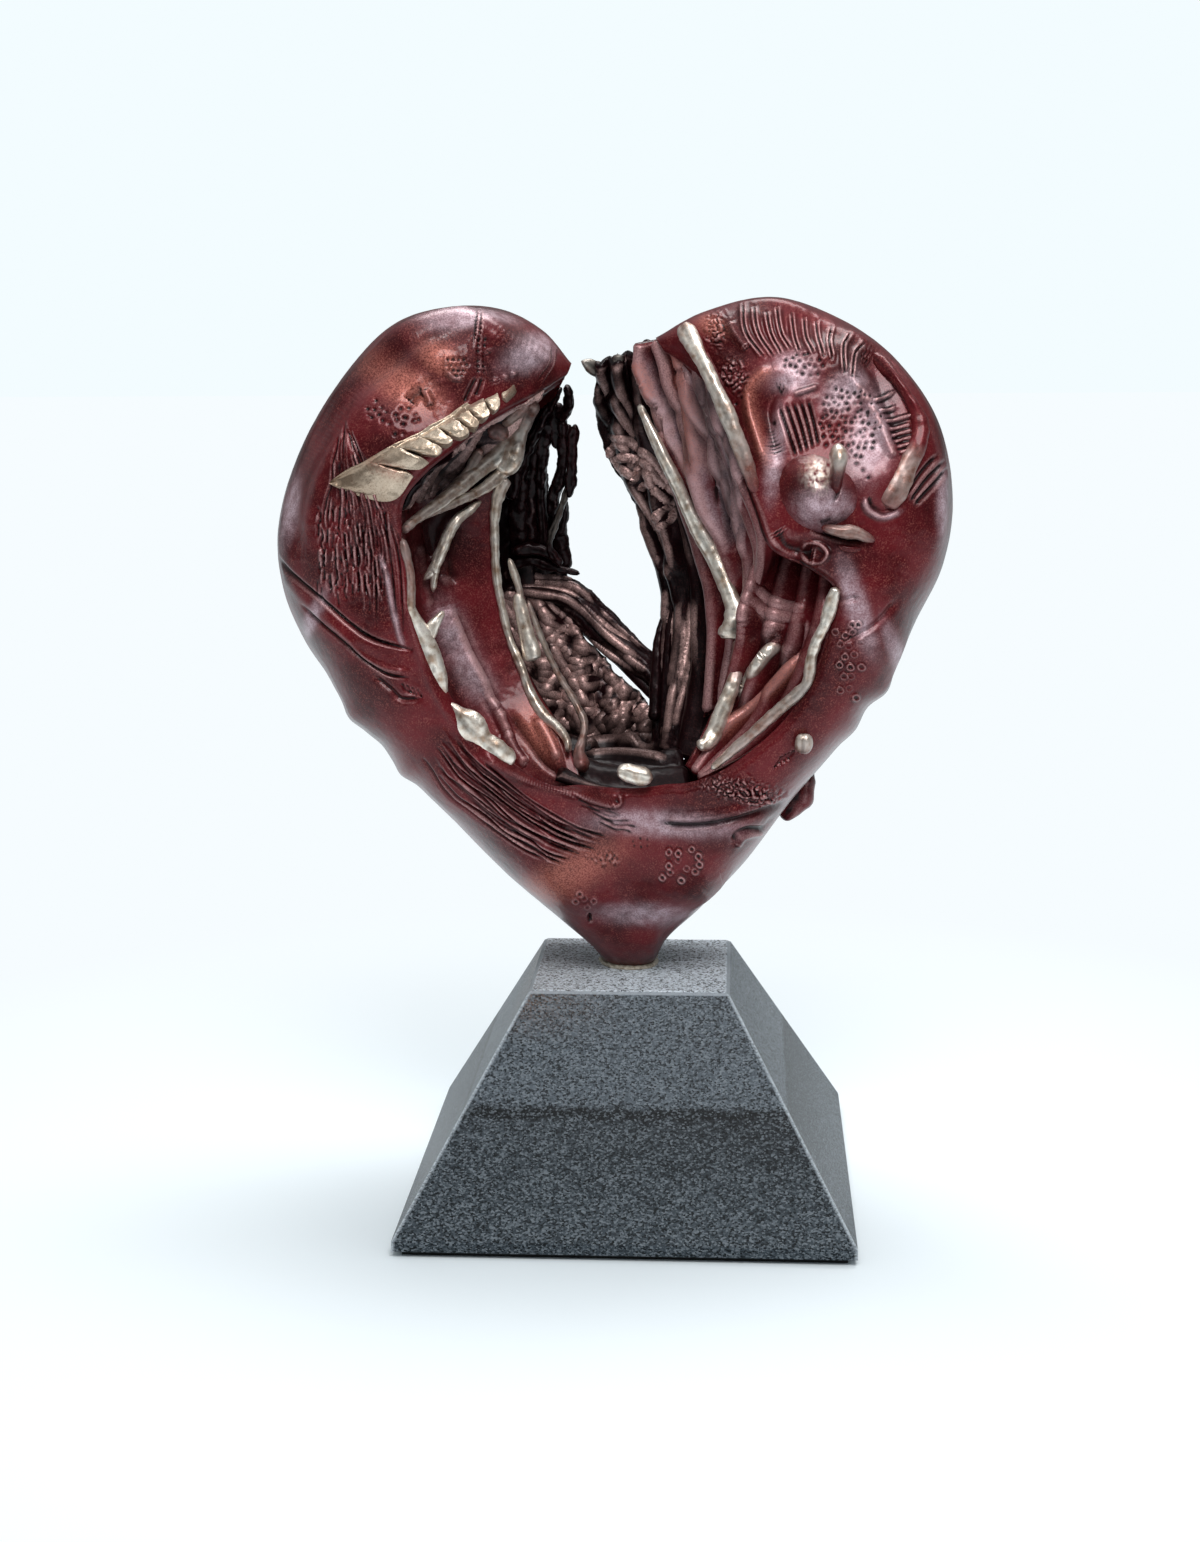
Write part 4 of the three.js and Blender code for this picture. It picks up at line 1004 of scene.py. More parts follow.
def make_shell():
    """The heart's skin as one grid, cut into pieces along the way round."""
    u = even_rows(ROWS)
    front = -even_turns(FRONT_COLUMNS, LIP_REACH, FRONT_DEPTH, 2 / FRONT_FULLNESS)[::-1]
    back = even_turns(BACK_COLUMNS, BACK_WIDTH, BACK_DEPTH, 2 / BACK_FULLNESS)
    grid_u, turn = np.meshgrid(u, np.concatenate([front[:-1], back]), indexing="ij")
    outside, run, lip_gap = shell_points(grid_u, turn, False)
    inner = np.linspace(-1, 1, INNER_COLUMNS)
    inside = shell_points(*np.meshgrid(u, inner, indexing="ij"), True)[0]
    middle = inside[:, np.round(np.linspace(0, INNER_COLUMNS - 1, turn.shape[1])).astype(int)]
    normal = facing_of(outside, outside - middle)
    height = skin_unevenness(outside, run, lip_gap)
    drawn_part = slice(0, FRONT_COLUMNS)
    relief, tints = draw(sight_places(outside[:, drawn_part]), LEFT_MARKS + APEX_MARKS + RIGHT_MARKS,
                         LEFT_DOTS + RIGHT_DOTS, LEFT_SWELLS + APEX_SWELLS + RIGHT_SWELLS,
                         APEX_GRAINS + RIGHT_GRAINS)
    fade = held(run[:, drawn_part] / CLEAR_RIM)
    height[:, drawn_part] += relief * fade
    folds = rough(np.stack([BACK_FOLDS[0] * grid_u, BACK_FOLDS[1] * turn], -1), 1, 2, FOLD_SEED)
    height[:, FRONT_COLUMNS:] += (FOLD_HEIGHT * folds * held(run / FOLD_START))[:, FRONT_COLUMNS:]
    outside = outside + normal * height[..., None]
    values = {"crest": crest_of(outside, normal)}
    values["crest"][:, FRONT_COLUMNS - 2:] *= BACK_CREST_GAIN
    for tint, share in tints.items():
        values[tint] = np.zeros(turn.shape)
        values[tint][:, drawn_part] = share * fade
    for grid in (outside, inside):
        grid[..., 2] = np.maximum(grid[..., 2], SEAT)
    for name, ends in SKIN_ENDS.items():
        first, last = (int(np.abs(u - end).argmin()) for end in ends)
        rows = slice(first, last + 1)
        body = closed(outside[rows], inside[rows], **{key: value[rows] for key, value in values.items()})
        add_piece(name, [body], OXBLOOD, [name.replace("_top", "").replace("skin", "shell")])
    make_bead(outside[outside[..., 2] < SEAT + FOOT_REACH])


# Resin bead: points round it and round its section, the section's half width and half height, how far out
# and up its middle lies, and its unevenness, in millimetres
BEAD_STEPS = 60
BEAD_SIDES = 12
BEAD_HALF_WIDTH, BEAD_HALF_HEIGHT = 0.8, 0.7
BEAD_OUT, BEAD_UP = 0.1, 0.2
BEAD_UNEVEN = 0.2


def make_bead(foot):
    """Fillet of resin: a thin ring laid where the foot meets the stone. Its radius towards each side is the
    furthest of the foot's low points on that side."""
    middle = (foot.min(0) + foot.max(0)) / 2
    out = foot - middle
    side = np.round(np.arctan2(out[:, 1], out[:, 0]) / (2 * math.pi) * BEAD_STEPS).astype(int) % BEAD_STEPS
    radius = np.zeros(BEAD_STEPS)
    np.maximum.at(radius, side, np.hypot(out[:, 0], out[:, 1]))
    radius = (np.roll(radius, 1) + radius + np.roll(radius, -1)) / 3
    around = 2 * math.pi * np.arange(BEAD_STEPS)[:, None] / BEAD_STEPS
    section = 2 * math.pi * np.arange(BEAD_SIDES)[None] / BEAD_SIDES
    reach = radius[:, None] + BEAD_OUT + BEAD_HALF_WIDTH * np.cos(section)
    skin = np.stack([middle[0] + reach * np.cos(around), middle[1] + reach * np.sin(around),
                     SEAT + BEAD_UP + BEAD_HALF_HEIGHT * np.sin(section) + 0 * around], -1)
    skin = skin + BEAD_UNEVEN * fine_grain(skin)[..., None]
    skin[..., 2] = np.maximum(skin[..., 2], SEAT)
    i, j = np.meshgrid(np.arange(BEAD_STEPS), np.arange(BEAD_SIDES), indexing="ij")
    row, next_row = BEAD_SIDES * i, BEAD_SIDES * ((i + 1) % BEAD_STEPS)
    beside = (j + 1) % BEAD_SIDES
    faces = np.stack([row + j, next_row + j, next_row + beside, row + beside], -1).reshape(-1, 4)
    points = skin.reshape(-1, 3)
    body = (points, outward(points, faces.tolist()), {})
    add_piece("resin_bead", [body], RESIN, ["resin_bead"])


# Boss of the right lobe: a dome with a nipple, laid over the skin that it grows from
BOSS_CENTRE = (819, 497)
NIPPLE = [(835, 492, -1.0, 2.2, 4), (836, 480, -1.06, 2.8, 5), (838, 468, -1.1, 3.2, 5.4, 0.1),
          (839, 459, -1.1, 4.0, 5.6, 0.7), (838, 451, -1.02, 3.4, 5.2, 0.2)]
# The place of the dome's top, painted bare silver: worn metal and painted highlight together.
BOSS_SHINE = (819, 473)
BOSS_RADIUS = 9.6
BOSS_HEIGHT = 7
# Its foot as a share of the front depth, how far its body goes in behind that, the hole at the middle of
# its grid as a share of its radius, and the grid's rings and sides
BOSS_DEPTH = 0.9
BOSS_ROOT = 5
BOSS_HOLE = 0.02
BOSS_RINGS = 80
BOSS_SIDES = 180
NIPPLE_SEED = 97
BOSS_CREASE = [(837.5, 467), (838.5, 480), (838, 491), (834, 502)]
BOSS_MARKS = [Mark(-0.8, 0.5, BOSS_CREASE, "ink"), Mark(-0.5, 0.5, SHORT_CREASE, "ink")]
# Swells: the bare silver top, and a lilac grey painted sheen over the dome's lower part.
BOSS_SWELLS = [Swell(0, BOSS_SHINE, (15, 18), 0, "silver"), Swell(0, (824, 508), (28, 20), 0, "painted_sheen")]


def make_boss():
    """A dome over a disc: its height is a quarter cosine of the distance from the centre. The nipple is a
    short strand that climbs it."""
    out = np.linspace(BOSS_HOLE, 1, BOSS_RINGS)
    share, angle = np.meshgrid(out, np.linspace(0, 2 * math.pi, BOSS_SIDES + 1), indexing="ij")
    radius = BOSS_RADIUS * (1 + 0.07 * np.cos(2 * angle + 1) + 0.05 * np.cos(3 * angle))
    way = np.stack([np.cos(angle), np.sin(angle)], -1)
    places = on_plane(BOSS_CENTRE) + way * (share * radius)[..., None]
    height = BOSS_HEIGHT * np.cos(math.pi / 2 * share ** 1.1)
    relief, tints = draw(places, BOSS_MARKS, swells=BOSS_SWELLS)
    # The silver top, thinned and broken up: its worn metal and painted highlight.
    tints["silver"] = 0.6 * tints["silver"] * (0.6 + rough(places[..., [0, 1, 0]], 1.2, 2, 95))
    face = along_sight(drawn(places), -FRONT_DEPTH * BOSS_DEPTH - height - relief)
    normal = facing_of(face, TO_FRONT)
    face = face + normal * (0.1 * rough(face, 2, 2, 91))[..., None]
    base = along_sight(drawn(places), np.full(share.shape, -FRONT_DEPTH * BOSS_DEPTH + BOSS_ROOT))
    points, faces = disc_body(face[:, :-1], base[:, :-1])
    values = {"crest": crest_of(face, normal), **tints}
    whole = {key: np.concatenate([value[:, :-1].reshape(-1), np.zeros(base[:, :-1].size // 3)])
             for key, value in values.items()}
    bodies = [(points, faces, whole), strand_body(NIPPLE, NIPPLE_SEED, dent=0, sides=40)]
    add_piece("boss", bodies, OXBLOOD, ["valve_boss"])


def disc_body(face, base):
    """Closed body of two grids of rings: the outer rings are joined, and the inner ones are filled."""
    rings, around = face.shape[:2]
    front = grid_quads(rings, around)
    back = front[:, ::-1] + rings * around
    j = np.arange(around)
    k = (j + 1) % around
    edge = (rings - 1) * around
    wall = np.stack([edge + j, edge + k, edge + rings * around + k, edge + rings * around + j], -1)
    faces = [list(quad) for quad in np.concatenate([front, back, wall])]
    faces += [list(range(around))[::-1], [rings * around + i for i in range(around)]]
    points = np.concatenate([face.reshape(-1, 3), base.reshape(-1, 3)])
    return points, outward(points, faces)


# Linings and torn sheets: each is ruled between two edges of (x, z, share)

SHEETS = {
    "left_lining": dict(
        start=[[-54, 158, -0.85], [-54, 147, -0.85], [-52, 136, -0.85], [-48.5, 125, -0.85],
               [-43, 114.5, -0.83], [-35, 105, -0.81], [-22, 95.5, -0.78]],
        end=[[-30.5, 166, 0.1], [-31, 155, 0.1], [-30, 142, 0.05], [-26.5, 130, 0],
             [-21.5, 119, -0.1], [-15, 108, -0.3], [-11.5, 97, -0.5]],
        wall=LINING_WALL, bow=-10, folds=1.5, fold=1, drift=0.2),
    "left_recess_folds": dict(
        start=[[-54, 160, -0.82], [-48, 168, -0.82], [-40, 174.5, -0.78], [-32, 180, -0.66],
               [-20, 187, -0.35]],
        end=[[-33, 159, 0.2], [-31.5, 164, 0.2], [-29.5, 169, 0.25], [-26, 176, 0.25],
             [-18.5, 186.5, 0.1]],
        wall=LINING_WALL, bow=-7, folds=3, fold=1.6, drift=1),
    "right_flutes": dict(
        start=[[1.5, 197, 0.05], [4, 184.5, 0.15], [8.5, 168.5, 0.2], [14, 150, 0.2], [16.5, 138, 0.15],
               [17, 126, 0.08], [16, 112, 0]],
        end=[[13, 199, -0.45], [18, 187.5, -0.68], [22.5, 177, -0.82], [27, 166, -0.86], [31, 155, -0.84],
             [29, 142, -0.4], [23.5, 120, -0.15]],
        wall=LINING_WALL, bow=-5, folds=5, fold=1.7, drift=-0.4),
    "right_lower_flutes": dict(
        start=[[31, 155, -0.3], [27, 141, -0.38], [24, 128, -0.42], [21.5, 118, -0.36], [18, 110, -0.42],
               [13, 100, -0.58]],
        end=[[48, 150, -0.6], [46.5, 134, -0.85], [42.5, 121.5, -0.83], [36, 110.5, -0.81],
             [27, 102.5, -0.79], [16, 96.5, -0.76]],
        wall=LINING_WALL, bow=-3, folds=4, fold=1.4, drift=0.3),
    "right_curtain": dict(
        start=[[-8, 193, 0.3], [-7.6, 183, 0.62], [-4.8, 172, 0.82], [3, 156, 0.85], [8, 139, 0.75],
               [6.5, 122, 0.62], [5.5, 105, 0.5]],
        end=[[4, 197.5, 0.2], [8.5, 184.5, 0.4], [12.5, 168.5, 0.45], [16.5, 149, 0.4], [19, 131, 0.28],
             [19, 115, 0.15], [17, 101, 0]],
        wall=CURTAIN_WALL, bow=2, folds=3, fold=1.3, drift=1.2),
    "diagonal_band": dict(
        start=[[-34, 147, 0.95], [-22, 146, 0.9], [-12, 143.5, 0.86], [-3, 135, 0.8], [8, 124, 0.66]],
        end=[[-34, 139, 0.95], [-24, 138, 0.9], [-14, 133.5, 0.86], [-5, 126, 0.8], [6, 115, 0.66]],
        wall=CURTAIN_WALL, bow=2.5, folds=2, fold=0.8, drift=0.4),
    "wrinkled_wall": dict(
        start=[[-36, 143, 0.95], [-32, 128, 0.92], [-25.5, 114, 0.88], [-16, 102, 0.84], [-6, 96, 0.8],
               [5, 95, 0.74]],
        end=[[-18, 141, 0.84], [-10, 130, 0.8], [-4.5, 123.5, 0.78], [2, 117, 0.74], [6, 111.5, 0.7],
             [10, 104, 0.62]],
        wall=CURTAIN_WALL, bow=3, folds=2.5, fold=1, drift=4),
    "floor_folds": dict(
        start=[[-18, 97, -0.6], [-8, 93, -0.7], [3, 93, -0.7], [14, 95, -0.6]],
        end=[[-15, 108, 0.66], [-6, 106, 0.66], [3, 106, 0.62], [10, 107, 0.55]],
        wall=CURTAIN_WALL, bow=1, folds=3, fold=1.2, drift=0.6),
}

# The first, broad line paints a lilac sheen down the lining.
LINING_MARKS = [
    Mark(0.2, 3.0, [(440, 606), (452, 636), (468, 668), (488, 702)], "painted_sheen"),
    Mark(-0.9, 0.7, [(454, 611), (463, 630), (474, 655), (486, 680), (497, 703)], "ink"),
    Mark(-1.0, 0.8, [(454, 613), (464, 638), (474, 662), (488, 687), (498, 703)], "ink"),
    Mark(0.6, 1.5, [(450, 618), (459, 643), (470, 668), (484, 693)]),
    Mark(0.5, 1.5, [(439, 575), (445.7, 593), (449, 610), (445, 640)]),
    Mark(0.9, 1.3, [(494, 712), (503, 732), (514, 754), (525, 768)]),
    Mark(-1.1, 1.0, [(512, 717), (531, 743), (546, 764), (562, 775)], "ink"),
    Mark(-0.8, 0.8, [(478, 690), (492, 716), (504, 740)]),
    Mark(0.8, 0.9, [(536, 720), (548, 742), (556, 762)]),
    Mark(-1.2, 1.2, [(428, 505), (424, 530), (430, 560)], "ink"),
    Mark(0.8, 1.0, [(415, 545), (420, 580), (428, 610)]),
    Mark(-1.2, 1.4, [(455, 520), (450, 550), (453, 585)], "ink"),
]
# The last swell is painted shade on the lining under the blade and the forked tendon.
LINING_SWELLS = [Swell(0, (540, 735), (18, 30), -0.5, "copper"), Swell(0.8, (478, 690), (14, 40), -0.5),
                 Swell(0, (440, 520), (30, 50), 0, "ink")]
STRINGS_LEFT = [(693, 375), (704, 415), (712, 460), (722, 500), (734, 556)]
STRINGS_RIGHT = [(706, 375), (722, 415), (733, 460), (741, 500), (745, 556)]
# Marks and strings with the sheen tint paint lilac highlights along the flutes' ridges.
FLUTE_MARKS = [
    Mark(1.4, 1.2, [(638.6, 355), (649.8, 376), (658, 396), (666.6, 408.6), (676.5, 436.6),
                    (686.3, 453.5), (703, 484), (716, 515), (728, 545)], "painted_sheen"),
    Mark(1.0, 0.8, [(658, 341), (666.6, 362), (672, 386), (678, 408.6)]),
    Mark(-2.0, 1.2, [(653, 400), (659, 416), (664, 437)], "ink"),
    Mark(1.3, 1.7, [(680.7, 372), (686.3, 389), (690.5, 408.6), (693.3, 428), (694.7, 449), (699, 475)],
         "copper"),
    Mark(-1.4, 1.0, [(683, 385), (684, 410), (690, 440), (698, 468)], "ink"),
    Mark(1.2, 1.0, [(690.5, 380), (697, 408), (701, 436.6), (702, 456), (706, 490), (716, 530)], "painted_sheen"),
    Mark(-1.5, 0.8, [(696, 385), (703, 415), (708, 440), (711, 470)], "ink"),
    Mark(1.0, 0.5, [(684.9, 360), (694.7, 379), (706, 400), (713, 419.8), (717, 436.6), (724, 465)],
         "painted_sheen"),
    Mark(-2.0, 1.1, [(684, 345), (700, 372), (716, 400), (727, 425), (736, 448), (746, 480)], "ink"),
    *family(STRINGS_LEFT, STRINGS_RIGHT, 6, 0.8, 0.45, 31, 0.6, 0.1, "painted_sheen"),
    *family(STRINGS_LEFT, STRINGS_RIGHT, 6, -1.0, 0.5, 32, 0.6, 0.1, "ink"),
    Mark(-1.0, 0.9, [(645, 345), (656, 366), (668, 392), (678, 420)], "ink"),
    Mark(0.9, 1.4, [(664, 332), (674, 350), (682, 368)], "copper"),
    Mark(0.6, 1.0, [(640, 362), (650, 380), (656, 398)], "copper"),
]
POCKET_MARKS = [
    Mark(1.3, 1.3, [(715.8, 480), (722, 515), (732, 550), (742, 580), (742, 640)]),
    Mark(1.8, 1.2, [(757, 556), (755, 575), (750, 600), (748, 626)]),
    # A thin ridge tinted bare silver: a painted highlight.
    Mark(1.0, 0.4, [(756.5, 556), (752, 572), (744, 590)], "silver"),
    Mark(1.0, 0.6, [(755, 588), (774.7, 602), (801, 609)]),
    Mark(-1.0, 0.5, [(754, 594), (770, 607), (798, 614)]),
    Mark(0.9, 0.6, [(752, 599), (766, 612), (795.7, 618)]),
    Mark(-1.0, 0.5, [(748, 604), (762, 618), (785, 624)]),
    # A thin ridge tinted bare silver: a painted highlight.
    Mark(1.2, 0.45, [(776, 646), (765, 656), (750, 677), (741, 693)], "silver"),
    Mark(-1.6, 1.2, [(776, 632), (758, 652), (742, 677), (732, 700)], "ink"),
    Mark(1.2, 1.0, [(803, 655), (788, 672), (765.7, 694.7), (745.8, 712), (722, 738)], "copper"),
    Mark(-1.6, 1.2, [(795, 650), (776, 674), (756, 695), (735, 716)], "ink"),
    Mark(-1.2, 0.8, [(803, 622), (800, 645), (790, 664)], "ink"),
    Mark(1.0, 0.5, [(722.8, 610.5), (700, 638.5), (686, 676), (678, 699), (672, 730)]),
    Mark(-1.2, 0.6, [(717, 652.6), (710, 668), (696, 700), (686, 730)], "ink"),
    Mark(-1.2, 0.6, [(721, 613.6), (703, 645.7), (684.6, 682.4), (680, 715)], "ink"),
    Mark(0.8, 0.5, [(716, 640), (704, 672), (692, 710)]),
]
CURTAIN_FOLDS = [
    [(591.5, 381), (601, 405), (614, 423), (630, 441)], [(600, 368), (610, 395), (623, 415), (638, 440)],
    [(614, 362), (617, 380), (630, 406), (643, 440)],
    [(626, 353), (631, 373), (635, 395), (646, 423), (668, 473)],
    [(626, 478), (640, 499), (653, 519), (663, 539), (669, 561), (674, 581)],
    [(650, 493), (658, 512), (668, 534), (673, 556), (679, 572)],
    [(676, 506), (678, 530), (676, 545), (681, 565)],
    [(606, 463), (626, 493), (646, 531), (663, 561), (670, 581), (672, 620)],
]
CURTAIN_CREASES = [
    [(610, 434), (630, 440), (650, 456), (666, 476), (676, 494)], [(609, 457), (618, 443), (628, 450)],
    [(618, 458), (630, 456), (649, 464), (658, 479), (674, 489)],
    [(633, 481), (641, 469), (650, 474), (653, 486)], [(655, 488), (666, 499), (679, 502)],
    [(640, 488), (648, 484)], [(658, 522), (663, 511), (676, 505)], [(662, 528), (672, 520), (680, 508)],
    [(612, 448), (622, 466), (634, 476)],
]
CURTAIN_MARKS = [
    *(Mark(0.8, 1.0, line) for line in CURTAIN_FOLDS),
    *(Mark(1.0, 0.36, line) for line in CURTAIN_CREASES),
    Mark(-1.4, 0.7, [(596, 374), (606, 400), (619, 420), (634, 441)], "ink"),
    Mark(-1.4, 0.7, [(607, 364), (614, 388), (626, 410), (640, 440)], "ink"),
    Mark(-1.4, 0.7, [(622, 358), (624, 378), (637, 404), (652, 440)], "ink"),
    Mark(-1.3, 0.6, [(640, 489), (652, 508), (664, 536), (672, 562)], "ink"),
    Mark(-1.3, 0.5, [(624, 462), (638, 462), (650, 470)], "ink"),
    Mark(-1.5, 0.7, [(616, 470), (634, 496), (654, 530), (668, 566)], "ink"),
    *family([(668, 590), (664, 650), (658, 700), (655, 745)], [(700, 590), (694, 650), (682, 700),
                                                               (676, 745)], 5, 1.0, 0.7, 42, 1.2, 0.1,
            knots=6),
    *family([(672, 590), (667, 650), (661, 700), (658, 745)], [(697, 590), (691, 650), (679, 700),
                                                               (674, 745)], 5, -0.8, 0.4, 45, 1.2, 0.1,
            "ink", knots=6),
]
WALL_MARKS = [Mark(-1.4, 0.9, [(533, 600), (545, 640), (565, 680), (590, 722)], "ink")]
BAND_MARKS = [
    *family([(500, 575), (578, 580), (612, 610), (657, 650)], [(505, 598), (560, 612), (600, 645),
                                                               (646, 676)], 6, 1.2, 0.7, 43, 1.0, 0.05),
    *family([(500, 578), (578, 584), (612, 614), (655, 652)], [(505, 596), (560, 608), (600, 641),
                                                               (646, 672)], 5, -1.0, 0.5, 44, 1.0, 0.05,
            "ink"),
]
# A painted shadow over the recess folds under the blade.
RECESS_SWELLS = [Swell(0, (450, 475), (50, 30), -0.5, "ink")]
# Painted shade over the low part of the wrinkled wall.
WALL_SWELLS = [Swell(0, (620, 730), (50, 16), 0, "ink")]
# Painted shade over the floor folds at the bottom of the cavity.
FLOOR_SWELLS = [Swell(0, (625, 745), (80, 40), 0, "ink")]
FLOOR_MARKS = [
    Mark(1.3, 0.8, [(584, 747), (600, 743), (619, 742), (640, 746)]),
    Mark(1.3, 0.8, [(612, 722), (630, 727), (658, 728)]),
    Mark(1.2, 0.8, [(618, 749), (635, 742), (654, 735)]),
    Mark(1.3, 0.8, [(587, 758), (620, 757), (667, 762)]),
    Mark(1.1, 0.7, [(590, 733), (615, 733), (650, 739)]),
    Mark(-1.5, 0.8, [(587, 752), (620, 750), (662, 754)], "ink"),
    Mark(-1.4, 0.8, [(590, 739), (620, 738), (655, 744)], "ink"),
]


# How far a torn edge's noise reaches along it, how far in the sheet's ends are calm, and how its edges
# thin out, in millimetres. The back of a sheet has fewer columns than its face.
TEAR_CELL = 5
CALM_END = 2
CALM_SHARE = 0.2
EDGE_THINNING = 1.2
THIN_EDGE = 0.04
SHEET_BACK_COLUMNS = 36
SHEET_CREST_REACH = 3
# The oxblood sheets are less bright on their crests, rubbed wear and painted highlight alike, and blacker
# in their hollows
OXBLOOD_RUB_AND_HIGHLIGHT, OXBLOOD_GRIME = 0.6, 1.7


def sheet_grid(form, rows, columns, detail, marks, swells, ragged):
    """Sheet between two edge lines. Its bow, folds and detail are heights over the straight lines that
    join the edges, raised along the sheet's own facing, which looks to the front. Ragged is how far noise
    draws the free first edge in, as a share of the width."""
    u, t = np.meshgrid(evenly(rows), evenly(columns), indexing="ij")
    start, end = seen(form["start"]), seen(form["end"])
    first, last = smooth(start, u), smooth(end, u)
    along = unit(tangents(start, u) + tangents(end, u))
    across = last - first
    facing = unit(np.cross(across, along))
    facing = facing * np.where(facing[..., 1:2] > 0, -1, 1)
    length = np.linalg.norm(np.diff(first[:, 0] + last[:, 0], axis=0), axis=-1).sum() / 2
    torn = ragged * rough(np.stack([u * length, 0 * u], -1), TEAR_CELL, 4, rows)
    wave = np.sin(2 * math.pi * (form["folds"] * t + form["drift"] * u))
    plain = first + across * (t + (1 - t) * torn)[..., None]
    height = form["bow"] * np.sin(math.pi * t) + form["fold"] * wave
    middle = plain + facing * height[..., None]
    width = np.linalg.norm(across, axis=-1)
    relief, tints = draw(sight_places(middle), marks, swells=swells)
    fine = detail(u * length, t * width.mean(), middle)
    height = (fine - fine.mean() + relief) * held(np.minimum(u, 1 - u) * length / CALM_END + CALM_SHARE)
    middle = middle + facing * height[..., None]
    normal = facing_of(middle, facing)
    edge = np.minimum(np.minimum(t, 1 - t) * width, np.minimum(u, 1 - u) * length)
    half = normal * (form["wall"] / 2 * np.sqrt(np.clip(edge / EDGE_THINNING, THIN_EDGE, 1)))[..., None]
    few = np.round(np.linspace(0, columns - 1, SHEET_BACK_COLUMNS)).astype(int)
    return middle + half, (middle - half)[:, few], normal, tints


def sheet_piece(name, material, slot, detail, marks=(), swells=(), ragged=0.0, crest_gain=1.0, size=(260, 150)):
    """A sheet as a piece. Its crest gain scales how bright its crests are, rubbed wear and painted
    highlight alike, and how dark its hollows are.
    """
    face, back, normal, tints = sheet_grid(SHEETS[name], *size, detail, marks, swells, ragged)
    crest = crest_gain * crest_of(face, normal, SHEET_CREST_REACH)
    if material is OXBLOOD:
        crest *= np.where(crest > 0, OXBLOOD_RUB_AND_HIGHLIGHT, OXBLOOD_GRIME)
    add_piece(name, [closed(face, back, crest=crest, **tints)], material, [name])


def soft(along, across, points):
    """Slow swells with a little fine grain."""
    return 0.3 * noise(points, 8, 7) + 0.05 * rough(points, 1.8, 2, 8)


def crumpled(along, across, points):
    """Leathery folds that follow the sheet, with finer wrinkles between them."""
    places = np.stack([along / 3, across], -1)
    broad = ridged(across + 1.8 * noise(places, 5, 11), 3.6)
    narrow = ridged(across + 2 * noise(places, 2.4, 13), 1.8)
    return 1.6 * broad + 0.6 * narrow + 0.1 * rough(points, 1.5, 2, 12)


def brainy(along, across, points):
    """Worm-like wrinkles: noise bent by slower noise, folded up at its zero lines into narrow valleys."""
    places = np.stack([along, across], -1)
    shift = np.stack([noise(places, 5, 21), noise(places, 5, 22)], -1)
    large = np.sqrt(np.abs(noise(places * [0.8, 1] + 1.8 * shift, 3.8, 23)) + 1e-3)
    small = np.sqrt(np.abs(noise(places + 0.8 * shift, 1.9, 24)) + 1e-3)
    return 3.0 * large + 0.5 * small


def pleated(along, across, points):
    """Slight creases down the sheet, with finer ones between them."""
    places = np.stack([along / 5, across], -1)
    long = ridged(across + 1.6 * noise(places, 4.5, 31), 4.2)
    fine = ridged(across + 1.2 * noise(places * [2, 1], 3, 34), 1.7)
    return 0.4 * long + 0.06 * fine


def ridged(place, spacing):
    """Sharp ridges with round valleys, one to a spacing, from 0 to 1."""
    return 1 - np.abs(np.sin(math.pi * place / spacing)) ** 0.8


# Tendons and strands: each point is (px, py, share, width, thickness, silver). A thickness of 3 mm with no
# silver, or only the lack of silver, is left out.

# What a strand's row may leave out: its thickness and its share of silver. Then the steps along it, its
# rounded ends, the dent in its front, the cells of its noise, and how strongly its crests show rubbed wear
# and painted highlight.
STRAND_REST = (3, 0)
COARSE_STEPS = 200
RING_STEP = 0.4
FEWEST_RINGS = 16
CAP_LENGTH = 1.5
CAP_TIP = 0.04
DENT_PLACE, DENT_REACH = 0.15, 0.45
WAVER_CELL = 5
KNOB_CELL = 2.0
STRAND_CREST_GAIN = 0.5


